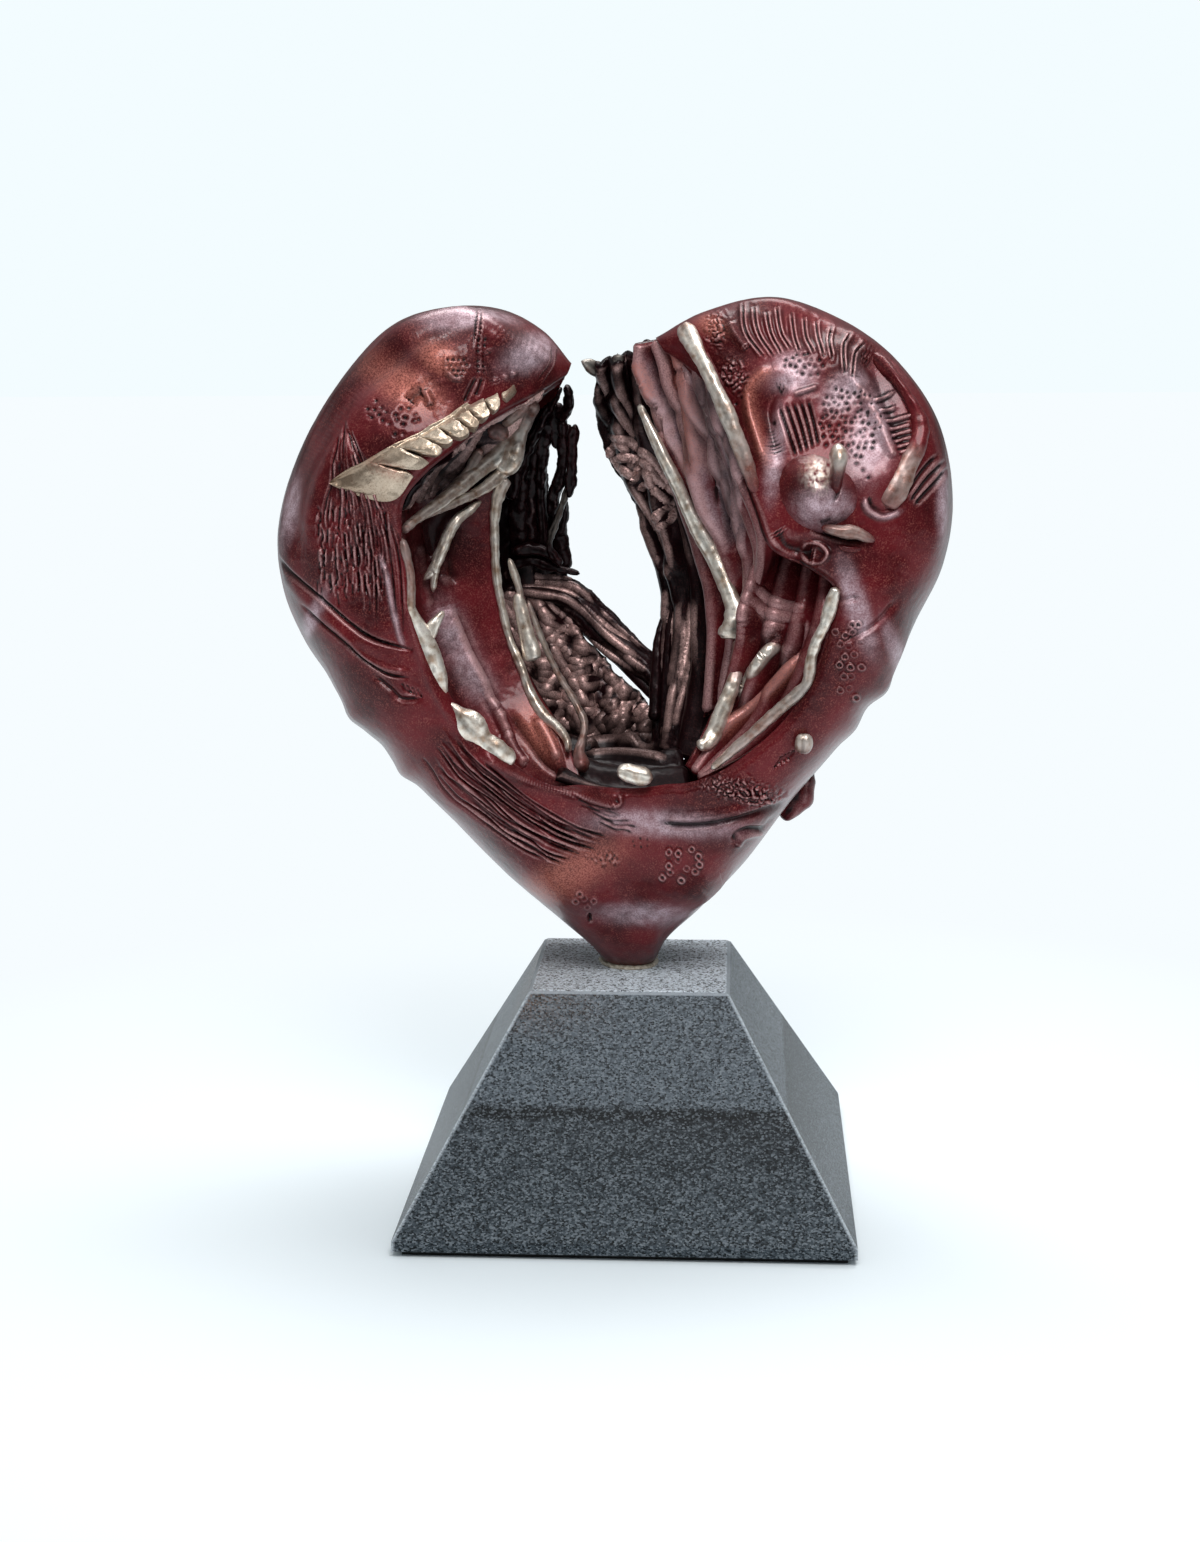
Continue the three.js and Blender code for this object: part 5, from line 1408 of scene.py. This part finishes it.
def strand_body(rows, seed, dent=0.14, uneven=0.14, sides=28, knobs=0.14):
    """Oval section carried along a smooth line. The front is dented between two raised edges, the ends are
    rounded by a quarter circle, and slow noise makes the width uneven."""
    rows = np.array([row + STRAND_REST[len(row) - 4:] for row in rows], float)
    line = seen(np.column_stack([on_plane(rows[:, :2]), rows[:, 2]]))
    coarse = smooth(line, evenly(COARSE_STEPS))
    length = np.linalg.norm(np.diff(coarse, axis=0), axis=1).sum()
    rings = max(int(length / RING_STEP), FEWEST_RINGS)
    share = evenly(rings)
    cap = np.minimum(1, np.minimum(share, 1 - share) * length / CAP_LENGTH)
    size = (np.sqrt(1 - (1 - cap) ** 2) * (1 - CAP_TIP) + CAP_TIP)[:, None]
    centre, tangent = smooth(line, share), tangents(line, share)
    depth = unit(np.array([0.0, 1, 0]) - tangent * tangent[:, 1:2])
    side = np.cross(tangent, depth)
    measures = smooth(rows[:, 3:6], share)
    angle = 2 * math.pi * np.arange(sides) / sides
    across, deep = np.cos(angle)[None], np.sin(angle)[None]
    waver = 1 + uneven * rough(np.stack([share * length, 0 * share], -1), WAVER_CELL, 2, seed)[:, None]
    hollow = dent * bell(across + DENT_PLACE, DENT_REACH) * (deep < 0)
    width = measures[:, 0:1] / 2 * waver * size
    thick = measures[:, 1:2] / 2 * size
    skin = (centre[:, None] + side[:, None] * (width * across)[..., None]
            + depth[:, None] * (thick * deep * (1 - hollow))[..., None])
    out = unit(skin - centre[:, None])
    skin = skin + out * (knobs * rough(skin, KNOB_CELL, 2, seed) * size)[..., None]
    mean = (np.roll(skin, 2, axis=1) + np.roll(skin, -2, axis=1)) / 2
    crest = ((skin - mean) * out).sum(-1)
    crest = STRAND_CREST_GAIN * (crest - crest.mean(1, keepdims=True))
    silver = np.broadcast_to(held(measures[:, 2:3]), crest.shape)
    points = skin.reshape(-1, 3)
    values = {"crest": crest.reshape(-1), "silver": silver.reshape(-1)}
    return points, outward(points, tube_faces(rings, sides)), values


TENDONS = {
    "left_rim_tendon": [
        [(402, 538, -0.95, 2, 3, 0.2), (410, 571, -0.95, 1.8, 3, 0.3), (411, 598, -0.95, 2, 3, 0.5),
         (410, 610, -0.95, 2.8, 3, 1), (419, 632, -0.94, 4.6, 3.2, 1), (430, 655, -0.94, 4.8, 3.2, 1),
         (439, 677, -0.93, 3.8, 3, 1), (446, 698, -0.92, 1.5, 2.6, 0.5), (456, 710, -0.94, 2.4, 3, 0.7),
         (465, 720, -0.96, 6, 3.4, 1), (474, 730, -0.96, 6.8, 3.4, 1), (484, 741, -0.95, 4.4, 3.2, 1),
         (494, 750, -0.94, 5.8, 3.6, 1), (503, 759, -0.92, 6.2, 3.6, 1), (511, 766, -0.9, 4.4, 3, 1)],
        [(423, 646, -0.94, 2.4, 2.6, 1), (430, 632, -0.92, 3.2, 2.4, 1), (437, 620, -0.9, 2.2, 2.2, 1),
         (444, 611, -0.88, 1.2, 1.8, 0.7)],
    ],
    "forked_tendon": [
        [(403, 531, -0.8, 1.6, 2.6, 0.2), (414, 521, -0.7, 2.2, 2.8, 0.6), (438, 504, -0.45, 2.8, 3, 1),
         (462, 485, -0.2, 3.4, 3.2, 1), (484, 467, 0, 3.4, 3.2, 1), (500, 455, 0.08, 4.6, 3.4, 1),
         (512, 444, 0.12, 5.2, 3.4, 0.8)],
        [(439, 497, -0.4, 1, 2, 0.3), (455, 484, -0.2, 1.8, 2.4, 0.5), (467, 473, -0.1, 2.2, 2.6, 0.6),
         (477, 456, 0, 2.4, 2.6, 0.4), (482, 449, 0, 1.6, 2, 0.2)],
        [(428, 516, -0.55, 1.2, 2.4, 0.4), (455, 503, -0.3, 1.8, 2.6, 0.8), (478, 492, -0.1, 2.4, 2.8, 1),
         (496, 479, 0.05, 3, 3, 1), (507, 467, 0.1, 3.4, 3, 1)],
        [(498, 472, 0.06, 3, 3.4, 1), (507, 463, 0.08, 6, 3.8, 1), (512, 452, 0.1, 6, 3.8, 1),
         (518, 438, 0.12, 4, 3, 0.5), (527, 418, 0.1, 3.4, 3, 0.2), (535, 402, 0, 3, 3, 0.2)],
        [(503, 425, 0.05, 2, 2.6, 0.2), (512, 418, 0.02, 2.6, 2.8, 0.3), (522, 408, 0, 3, 3, 0.2),
         (530, 398, -0.02, 2, 2.6, 0.2)],
        [(489, 437, 0.05, 3, 2.6, 0.1), (498, 431, 0.06, 4, 2.8, 0.1), (506, 440, 0.08, 3, 2.6, 0.2)],
    ],
    "slender_tendon": [
        [(481, 501, -0.02, 1.2, 2.4, 0.6), (470, 510, -0.08, 2, 2.8, 1), (457, 520, -0.16, 2.6, 3, 1),
         (448, 535, -0.2, 2.6, 3, 1), (441, 552, -0.23, 2.8, 3, 1), (436, 564, -0.25, 2.6, 2.8, 1),
         (432, 575, -0.26, 3, 2.4, 1)],
        [(437, 567, -0.25, 1.6, 2.2, 1), (430, 574, -0.26, 1.8, 2.2, 1), (423.5, 580, -0.27, 1, 2, 1)],
        [(436, 567, -0.25, 1.6, 2.2, 1), (434, 580, -0.26, 1.6, 2.2, 1), (433, 592, -0.27, 1, 2, 1)],
    ],
    "inner_long_tendon": [
        [(507, 478, 0.1, 3, 3.4, 0.4), (499, 492, 0.08, 3.2, 3.4, 0.8), (495, 515, 0.05, 2.4, 3.4, 1),
         (495, 545, 0.04, 2, 3.4, 1), (497, 580, 0.02, 1.9, 3.4, 1), (503, 612, 0, 1.9, 3.4, 1),
         (510, 640, -0.03, 1.7, 3.4, 1), (521, 666, -0.08, 2, 3.4, 0.9), (530, 692, -0.13, 2.3, 3.4, 0.9),
         (543, 714, -0.2, 2.7, 3.4, 0.8), (559, 729, -0.3, 2, 3.4, 0.9), (567, 741, -0.4, 1.8, 3.4, 0.9),
         (568, 752, -0.45, 1.4, 3, 0.4)],
    ],
    "inner_short_tendon": [
        [(509, 558, 0.05, 1.2, 2.6, 0.8), (515, 575, 0.04, 1.8, 2.6, 0.9),
         (520, 592, 0.03, 1.6, 2.8, 0.6), (519, 600, 0.02, 2.8, 3, 1), (523, 618, 0, 3.2, 3, 1),
         (527, 636, -0.02, 3.6, 3, 1), (531, 651, -0.04, 4.4, 3, 1), (534, 661, -0.05, 4, 3, 1)],
    ],
    "inner_fold_tendon": [
        [(528, 600, 0.04, 1, 2.6, 0.3), (540, 634, 0.02, 1.4, 2.8, 0.5), (556, 670, 0, 1.4, 2.8, 0.4),
         (574, 700, -0.03, 1.6, 3, 0.4), (584, 722, -0.1, 1.8, 3, 0.3), (582, 740, -0.2, 1.8, 3, 0.3),
         (579, 752, -0.3, 2.6, 3.4, 0.2), (581, 764, -0.38, 3.8, 4, 0.1), (583, 770, -0.42, 2.4, 3, 0.1)],
    ],
    "front_long_tendon": [
        [(639, 404, 0.18, 1.6, 2.4, 0.9), (650, 428, 0.1, 2.2, 2.8, 1), (664, 458, 0.04, 2.8, 3, 1),
         (677, 484, 0.02, 3, 3.2, 1), (689, 511, 0, 3.2, 3.2, 1), (703, 538, -0.02, 4, 3.4, 1),
         (716, 560, -0.05, 4.2, 3.4, 1), (727, 588, -0.12, 3.8, 3.4, 1), (733, 603, -0.17, 4, 3.6, 1),
         (736, 614, -0.2, 5.2, 4, 1), (737, 624, -0.22, 7.2, 4.4, 1), (737, 632, -0.22, 8.6, 4.8, 1),
         (737, 639, -0.22, 7.6, 4.4, 1)],
    ],
    "upper_long_tendon": [
        [(684, 326, -0.3, 3.2, 3, 0.3), (689, 336, -0.42, 4.4, 3.2, 0.7), (697, 352, -0.6, 3.4, 3, 0.8),
         (706, 368, -0.7, 3, 3, 0.9), (716, 390, -0.76, 3.4, 3, 0.7), (727, 414, -0.81, 3.6, 2.8, 0.6),
         (738, 442, -0.85, 3.6, 2.4, 0.45), (748, 468, -0.87, 3.2, 2, 0.2), (756, 494, -0.88, 1.6, 1.6)],
    ],
    "lower_tendon": [
        [(738, 640, -0.28, 2.8, 3, 0.2), (737, 658, -0.36, 2.8, 3, 0.2), (735, 676, -0.44, 3, 3, 0.3),
         (731, 690, -0.47, 3.6, 3.2, 1), (723, 710, -0.5, 3.8, 3.2, 1), (714, 733, -0.53, 4, 3.2, 1),
         (707, 743, -0.57, 3.4, 3.2, 1), (697, 746, -0.6, 2.2, 2.8, 1)],
    ],
    "outer_tendon": [
        [(836, 587, -0.97, 2, 2.8, 1), (832, 602, -0.97, 3, 3, 1), (825, 624, -0.97, 2.6, 3, 1),
         (815, 645, -0.96, 2.4, 3, 1), (811, 660, -0.96, 2.4, 3, 0.8), (808, 680, -0.95, 2.4, 3, 0.5),
         (797, 694, -0.94, 2.6, 3, 0.4), (775, 713, -0.93, 2.6, 3, 0.4), (753, 733, -0.92, 2.4, 3, 0.4),
         (730, 753, -0.89, 2.2, 3, 0.5), (711, 769, -0.87, 1.6, 2.8, 0.8)],
    ],
    "rim_tab": [
        [(617, 771, -0.83, 2.4, 3, 0.9), (625, 772, -0.84, 4, 3.6, 1), (640, 776, -0.85, 4.4, 3.8, 1),
         (653, 779, -0.85, 3, 3, 0.7)],
    ],
    "rim_nub": [
        [(804, 734, -1.0, 3.4, 4, 0.8), (804, 742, -1.02, 3.8, 4.4, 0.5), (803, 752, -0.98, 3.6, 4)],
    ],
    "rim_vein": [
        [(874, 356, -0.42, 3, 3.4), (883, 365, -0.5, 3.4, 3.6), (897, 381, -0.6, 2.4),
         (911, 402, -0.66, 2.6), (920, 424, -0.7, 3.6, 3.6), (918, 444, -0.76, 4.2, 3.6),
         (909, 462, -0.84, 4.4, 3, 0.25), (902, 478, -0.9, 5, 3, 0.3), (894, 494, -0.94, 5.4, 2.8, 0.25),
         (886, 507, -0.96, 3.6, 2.2, 0.1)],
    ],
    # The upper lip's small silver share paints a pale highlight along it.
    "boss_lip": [
        [(821, 527, -1.04, 1.4), (838, 531, -1.06, 2.6, 3.6, 0.25), (856, 533, -1.04, 2.8, 3.6, 0.3),
         (875, 541, -0.99, 1.4)],
        [(836, 545, -0.98, 1.2, 2.4), (850, 549, -0.98, 1.8, 2.8), (864, 548, -0.96, 1.2, 2.4)],
    ],
    "spike_strip": [
        [(663, 616, 0.64, 1, 2.6), (658, 640, 0.58, 2), (656, 676, 0.5, 2.8), (654, 722, 0.4, 3)],
        [(672, 606, 0.6, 1, 2.6), (668, 640, 0.56, 2), (666, 690, 0.48, 2.6), (664, 740, 0.4, 3)],
    ],
    "curtain_beak": [
        [(604, 371, 0.34, 4.2, 2.4), (594, 368, 0.32, 3.4, 2.2, 0.1), (588, 364, 0.3, 2.6, 2, 0.3),
         (581, 361, 0.28, 0.8, 1.6, 0.5)],
        [(612, 357, 0.2, 1.6, 1.6), (618, 359, 0.2, 2.6, 1.8, 0.2), (624, 356, 0.2, 1.2, 1.6)],
    ],
    "back_vessel_stub": [
        [(800, 762, 0.6, 5, 8), (799, 778, 0.55, 7.6, 9), (797, 793, 0.52, 8.2, 9),
         (791, 806, 0.52, 6.4, 8), (783, 817, 0.55, 2.6, 6)],
    ],
}
DARK_STRANDS = [
    [(548, 386, 0.4, 4), (538, 408, 0.5, 6), (527, 436, 0.58, 6), (520, 466, 0.64, 5)],
    [(562, 420, 0.36, 2.4), (563, 440, 0.42, 2.8), (563.5, 458, 0.46, 2.6), (561, 475, 0.5, 2.8),
     (555, 492, 0.56, 3), (551, 515, 0.62, 3.4)],
    [(575.5, 424, 0.36, 1.2, 2.4), (573, 436, 0.38, 2.6, 2.8), (572, 460, 0.4, 2.5, 2.8),
     (571, 480, 0.42, 2.7, 2.8), (569, 498, 0.44, 1.4, 2.4)],
    [(568, 424, 0.4, 1.6, 2.6), (569, 445, 0.44, 1.5, 2.6), (570, 466, 0.48, 1.4, 2.4)],
    [(568, 482, 0.5, 1.2, 2.4, 0.2), (564, 500, 0.52, 1.5, 2.4, 0.1), (559, 516, 0.54, 1.6, 2.4, 0.1),
     (553, 531, 0.56, 1.7, 2.4, 0.1), (550, 546, 0.58, 1.6, 2.4), (555, 558, 0.6, 2.2, 2.4),
     (563, 563, 0.62, 1.4, 2.4)],
    [(565, 500, 0.66, 2), (562, 520, 0.7, 3.4), (560, 540, 0.74, 3.8), (566, 570, 0.78, 4)],
    [(560, 389, 0.2, 1.4), (552, 404, 0.3, 2), (541, 422, 0.36, 2.4), (528, 448, 0.42, 2.6),
     (516, 474, 0.5, 3.4, 3.4), (512, 500, 0.56, 3.6, 3.4)],
    [(549, 420, 0.46, 4.4, 3.4), (544, 440, 0.52, 3.6, 3.4), (542, 465, 0.58, 2.6, 3.4),
     (541, 492, 0.64, 2.5, 3.4), (543, 520, 0.68, 2.4, 3.4), (544, 556, 0.74, 2.8, 3.4)],
    [(538, 436, 0.54, 3, 3.4), (532, 460, 0.6, 3.8, 3.4), (529, 490, 0.66, 4.2, 3.4),
     (529, 525, 0.72, 4.4, 3.4), (530, 566, 0.78, 4.2, 3.4)],
    [(523, 462, 0.56, 3), (519, 490, 0.62, 4.4), (518, 520, 0.68, 4.6), (519, 560, 0.76, 4.4)],
    [(566, 386, 0.2, 1.6), (569, 397, 0.26, 2.4, 3.4), (567, 409, 0.34, 2.6, 3.6), (559, 420, 0.42, 3.4)],
    [(556, 402, 0.42, 3.4), (557, 420, 0.46, 4.4, 3.4), (558, 438, 0.5, 4, 3.2), (558, 449, 0.52, 1.6)],
    [(548, 404, 0.5, 3.4), (546, 425, 0.54, 4.4), (548, 445, 0.58, 3.4)],
    [(508, 470, 0.7, 4), (505, 505, 0.76, 6), (505, 545, 0.8, 7), (507, 590, 0.84, 7)],
    [(516, 485, 0.74, 5), (514, 520, 0.78, 7), (516, 555, 0.8, 8), (522, 600, 0.84, 9)],
    [(536, 470, 0.74, 5), (537, 505, 0.78, 6), (538, 540, 0.82, 7), (542, 590, 0.86, 7)],
    [(550, 496, 0.76, 3), (551, 520, 0.8, 5), (552, 550, 0.82, 6), (556, 588, 0.86, 6)],
    [(513, 552, 0.62, 2), (530, 549, 0.64, 3), (548, 553, 0.64, 2.6), (562, 562, 0.66, 1.6)],
    [(511, 566, 0.7, 2), (530, 560, 0.7, 2.6), (550, 566, 0.7, 2.6), (580, 574, 0.7, 1.2, 2.4)],
]


# Blade, drawn as two edges of eleven parts each in (x, z)
QUILL = [(-68.5, 166.5), (-66.5, 168), (-64, 169.5), (-60.5, 171), (-54.5, 174), (-49.5, 176),
         (-45, 178.5), (-41.5, 180.5), (-38.5, 182.5), (-34, 185), (-30.5, 187), (-26, 189)]
BLADE_EDGE = [(-68, 165.5), (-59.5, 162.5), (-53.5, 162.5), (-49, 168), (-44.5, 171), (-42, 173.5),
              (-39.5, 175), (-35.5, 177), (-34, 179), (-31.5, 181), (-29, 183.5), (-26, 187.5)]
QUILL_SHARES = (-0.9, -1.03, -0.86, -0.5)
EDGE_SHARES = (-0.9, -1.1, -0.98, -0.62)
SHARE_PLACES = (0, 0.33, 0.67, 1)
QUILL_KNOB = (426, 422)
COPPERY_PART = ((385, 468), (22, 8), 0.4)
# The blade's grid, parts, length and width, and its swell, barbs, slits, quill and knob in millimetres
BLADE_ROWS = 420
BLADE_COLUMNS = 90
BLADE_PARTS = 11
BLADE_LENGTH = 46
BLADE_WIDTH = 12
BLADE_SWELL = 1.5
BARB_RISE = 0.5
SLIT_DEPTH = 1.2
SLIT_WIDTH = 0.3
QUILL_RISE = 0.9
KNOB_RISE = 1.6
KNOB_REACH = 1.3


def with_shares(line, shares):
    """A line of (x, z) with a depth share at each point, from four shares spread along it."""
    return np.column_stack([line, np.interp(evenly(len(line)), SHARE_PLACES, shares)])


def make_blade():
    """The feathered blade: a grid from the quill to the free edge. After its first three plain parts, each
    of its eleven parts is a barb that rises towards the tip and drops on the next with a dark slit."""
    u, v = np.meshgrid(evenly(BLADE_ROWS), evenly(BLADE_COLUMNS), indexing="ij")
    top = seen(smooth(with_shares(QUILL, QUILL_SHARES), u))
    low = seen(smooth(with_shares(BLADE_EDGE, EDGE_SHARES), u))
    barb = BLADE_PARTS * u
    part = barb - np.floor(barb)
    to_next = np.minimum(part, 1 - part)
    barbed = held((barb - 2.9) / 0.2)
    jag = -0.4 * barbed * bell(to_next, 0.16) * held(v * 1.6 - 0.6)
    face = top + (low - top) * (v + jag)[..., None]
    normal = facing_of(face, TO_FRONT)
    slit = barbed * bell(to_next / BLADE_PARTS * BLADE_LENGTH, SLIT_WIDTH) * held(5 * v - 1.2)
    height = BLADE_SWELL * np.sin(math.pi * np.minimum(v, 0.8)) * held((1 - u) * 4)
    height += BARB_RISE * barbed * part * held(4 * v) - SLIT_DEPTH * slit
    height += QUILL_RISE * bell(v, 0.07) + 0.25 * noise(face, 4, 51) + 0.1 * rough(face, 1.5, 2, 52)
    knob = np.linalg.norm(sight_places(face) - on_plane(QUILL_KNOB), axis=-1)
    height += KNOB_RISE * bell(knob, KNOB_REACH)
    face = face + normal * height[..., None]
    edge_gap = np.minimum(v * BLADE_WIDTH, (1 - v) * BLADE_WIDTH)
    thick = 0.5 + 1.0 * np.sqrt(held(edge_gap / 1.5))
    back = (face - normal * (height * 0.6 + thick)[..., None])[:, ::5]
    back[:, -1] = (face - normal * 0.5)[:, -1]
    coppery = 0.5 * patch(sight_places(face), *COPPERY_PART)
    # The slits are painted dark: shade in the narrow cuts.
    body = closed(face, back, crest=crest_of(face, normal), ink=slit, copper=coppery)
    add_piece("leaf_blade", [body], NICKEL, ["leaf_blade"])


# How each sheet is finished: its fine relief, what is drawn on it, its torn edge, its crest gain for
# rubbed wear, painted highlight and dark hollows, and its grid
OXBLOOD_SHEETS = {
    "left_lining": dict(detail=soft, marks=LINING_MARKS, swells=LINING_SWELLS, size=(260, 170)),
    "right_flutes": dict(detail=soft, marks=FLUTE_MARKS, size=(260, 170)),
    "right_lower_flutes": dict(detail=soft, marks=POCKET_MARKS, size=(220, 190)),
}
DARK_SHEETS = {
    "left_recess_folds": dict(detail=crumpled, swells=RECESS_SWELLS),
    "right_curtain": dict(detail=pleated, marks=CURTAIN_MARKS, ragged=0.025, crest_gain=0.6),
    "diagonal_band": dict(detail=soft, marks=BAND_MARKS, ragged=0.05),
    "wrinkled_wall": dict(detail=brainy, marks=WALL_MARKS, swells=WALL_SWELLS, crest_gain=1.2),
    "floor_folds": dict(detail=soft, marks=FLOOR_MARKS, swells=FLOOR_SWELLS),
}


def make_linings():
    for name, look in OXBLOOD_SHEETS.items():
        sheet_piece(name, OXBLOOD, "oxblood_bronze", **look)
    for name, look in DARK_SHEETS.items():
        sheet_piece(name, DARK, "dark_bronze", **look)


DARK_TENDONS = ("spike_strip", "curtain_beak")
TENDON_SEED, TENDON_SEED_STEP = 30, 7
STRAND_SEED = 200


def make_tendons():
    for index, (name, lines) in enumerate(TENDONS.items()):
        seed = TENDON_SEED + TENDON_SEED_STEP * index
        bodies = [strand_body(rows, seed + k) for k, rows in enumerate(lines)]
        material, slot = (DARK, "dark_bronze") if name in DARK_TENDONS else (OXBLOOD, "nickel_silver")
        add_piece(name, bodies, material, [name] if name in frame["nodes"] else [])
    strands = [strand_body(rows, STRAND_SEED + k, dent=0.2, uneven=0.3, knobs=0.35)
               for k, rows in enumerate(DARK_STRANDS)]
    add_piece("strand_curtain", strands, DARK, ["strand_curtain"])


def dress_frame():
    """Better finishes in the slots of the CAD nodes that stay."""
    for node, material in (("plinth", STONE), ("felt_pad", FELT), ("rod_nut", ZINC), ("rod_washer", ZINC),
                           ("mounting_rod", ZINC)):
        frame["nodes"][node].material_slots[0].material = material


# Floor, light and camera

# Half the floor's side, and the ring over which it fades to the background, in metres
FLOOR_REACH = 6
FADE_NEAR, FADE_FAR = 0.07, 0.26
GLOSSY_GLOW = 0.25


def floor():
    """A pale floor. It takes the object's shadow near it, and fades to the background far away. In glossy
    reflections that glow is a quarter as strong, so that the low edges of the heart stay dark."""
    mesh = bpy.data.meshes.new("floor")
    corners = ((-1, -1), (1, -1), (1, 1), (-1, 1))
    mesh.from_pydata([(x * FLOOR_REACH, y * FLOOR_REACH, 0) for x, y in corners], [], [(0, 1, 2, 3)])
    material, tree, shader, place = new_material("pale_studio_floor")
    feed(tree, shader, {"Base Color": colour("#e6edf1"), "Roughness": 0.7, "Specular IOR Level": 0.1})
    distance = add(tree, "ShaderNodeVectorMath", {0: place}, operation="LENGTH").outputs["Value"]
    far = between(tree, distance, FADE_NEAR, FADE_FAR)
    rays = add(tree, "ShaderNodeLightPath", {}).outputs
    shown = greater(tree, rays["Is Camera Ray"], times(tree, rays["Is Glossy Ray"], GLOSSY_GLOW))
    glow = add(tree, "ShaderNodeEmission", {"Color": colour("#f6fcff"), "Strength": 1.0})
    mix = add(tree, "ShaderNodeMixShader", {0: times(tree, far, shown), 1: shader.outputs["BSDF"],
                                            2: glow.outputs["Emission"]})
    output = next(node for node in tree.nodes if node.type == "OUTPUT_MATERIAL")
    feed(tree, output, {"Surface": mix.outputs["Shader"]})
    mesh.materials.append(material)
    piece = bpy.data.objects.new("floor", mesh)
    bpy.context.scene.collection.objects.link(piece)


# How strong the world is in reflections: the dark, the backdrop, the ceiling and the side panels. Then how
# strong its soft light is below and above.
DARK_ROOM, BACKDROP, CEILING, SIDE_PANEL = 0.02, 0.16, 0.9, 0.65
SOFT_BELOW, SOFT_ABOVE = 0.2, 0.6


def world():
    """Pale background for the camera. Reflections show a dim backdrop, a bright ceiling and a panel at each
    side, and a dark room on the camera's side. As soft light it is brightest above."""
    light = bpy.data.worlds.new("pale_background")
    light.use_nodes = True
    tree = light.node_tree
    tree.nodes.clear()
    rays = add(tree, "ShaderNodeLightPath", {}).outputs
    direction = add(tree, "ShaderNodeTexCoord", {}).outputs["Generated"]
    across, deep, up = add(tree, "ShaderNodeSeparateXYZ", {"Vector": direction}).outputs
    behind = between(tree, deep, 0.5, 0.9, DARK_ROOM, BACKDROP)
    above = between(tree, up, 0.35, 0.85, DARK_ROOM, CEILING)
    sides = times(tree, between(tree, size_of(tree, across), 0.7, 0.88), between(tree, deep, 0.05, 0.3))
    sides = times(tree, sides, between(tree, up, 0.7, 0.4, 0, SIDE_PANEL))
    mirrored = greater(tree, greater(tree, behind, above), sides)
    soft_light = between(tree, up, -0.6, 1.0, SOFT_BELOW, SOFT_ABOVE)
    seen_back = greater(tree, rays["Is Camera Ray"], rays["Is Transmission Ray"])
    inputs = {"Factor": rays["Is Glossy Ray"], "A": soft_light, "B": mirrored}
    strength = add(tree, "ShaderNodeMix", inputs, data_type="FLOAT").outputs["Result"]
    strength = greater(tree, strength, seen_back)
    back = add(tree, "ShaderNodeBackground", {"Color": colour("#f3fcff"), "Strength": strength})
    add(tree, "ShaderNodeOutputWorld", {"Surface": back.outputs["Background"]})
    bpy.context.scene.world = light


# The lamps aim here, in metres
HEART_MIDDLE = (0, 0, 0.13)


def lamp(name, size, power, place):
    """A rectangular lamp, aimed at the middle of the heart."""
    data = bpy.data.lights.new(name, "AREA")
    data.shape = "RECTANGLE"
    data.size, data.size_y = size
    data.energy = power
    piece = bpy.data.objects.new(name, data)
    piece.location = place
    piece.rotation_euler = (Vector(HEART_MIDDLE) - Vector(place)).to_track_quat("-Z", "Y").to_euler()
    bpy.context.scene.collection.objects.link(piece)


def camera():
    """The camera that took the picture, from its fitted place, turns and focal length."""
    data = bpy.data.cameras.new("camera")
    data.sensor_width = SENSOR
    data.lens = FOCAL_PIXELS / PICTURE_HEIGHT * SENSOR
    piece = bpy.data.objects.new("camera", data)
    right, forward, up = AXES
    rows = [[right[k], up[k], -forward[k], EYE[k] * MM] for k in range(3)]
    piece.matrix_world = Matrix(rows + [[0, 0, 0, 1]])
    bpy.context.scene.collection.objects.link(piece)
    bpy.context.scene.camera = piece


camera()
make_shell()
make_boss()
make_linings()
make_blade()
make_tendons()
dress_frame()
floor()
world()
lamp("front_lamp", (0.36, 0.28), 4.0, (0.06, -0.52, 0.68))
lamp("top_lamp", (0.6, 0.3), 4.6, (0.06, 0.22, 0.82))
bpy.context.scene.view_settings.view_transform = "Standard"
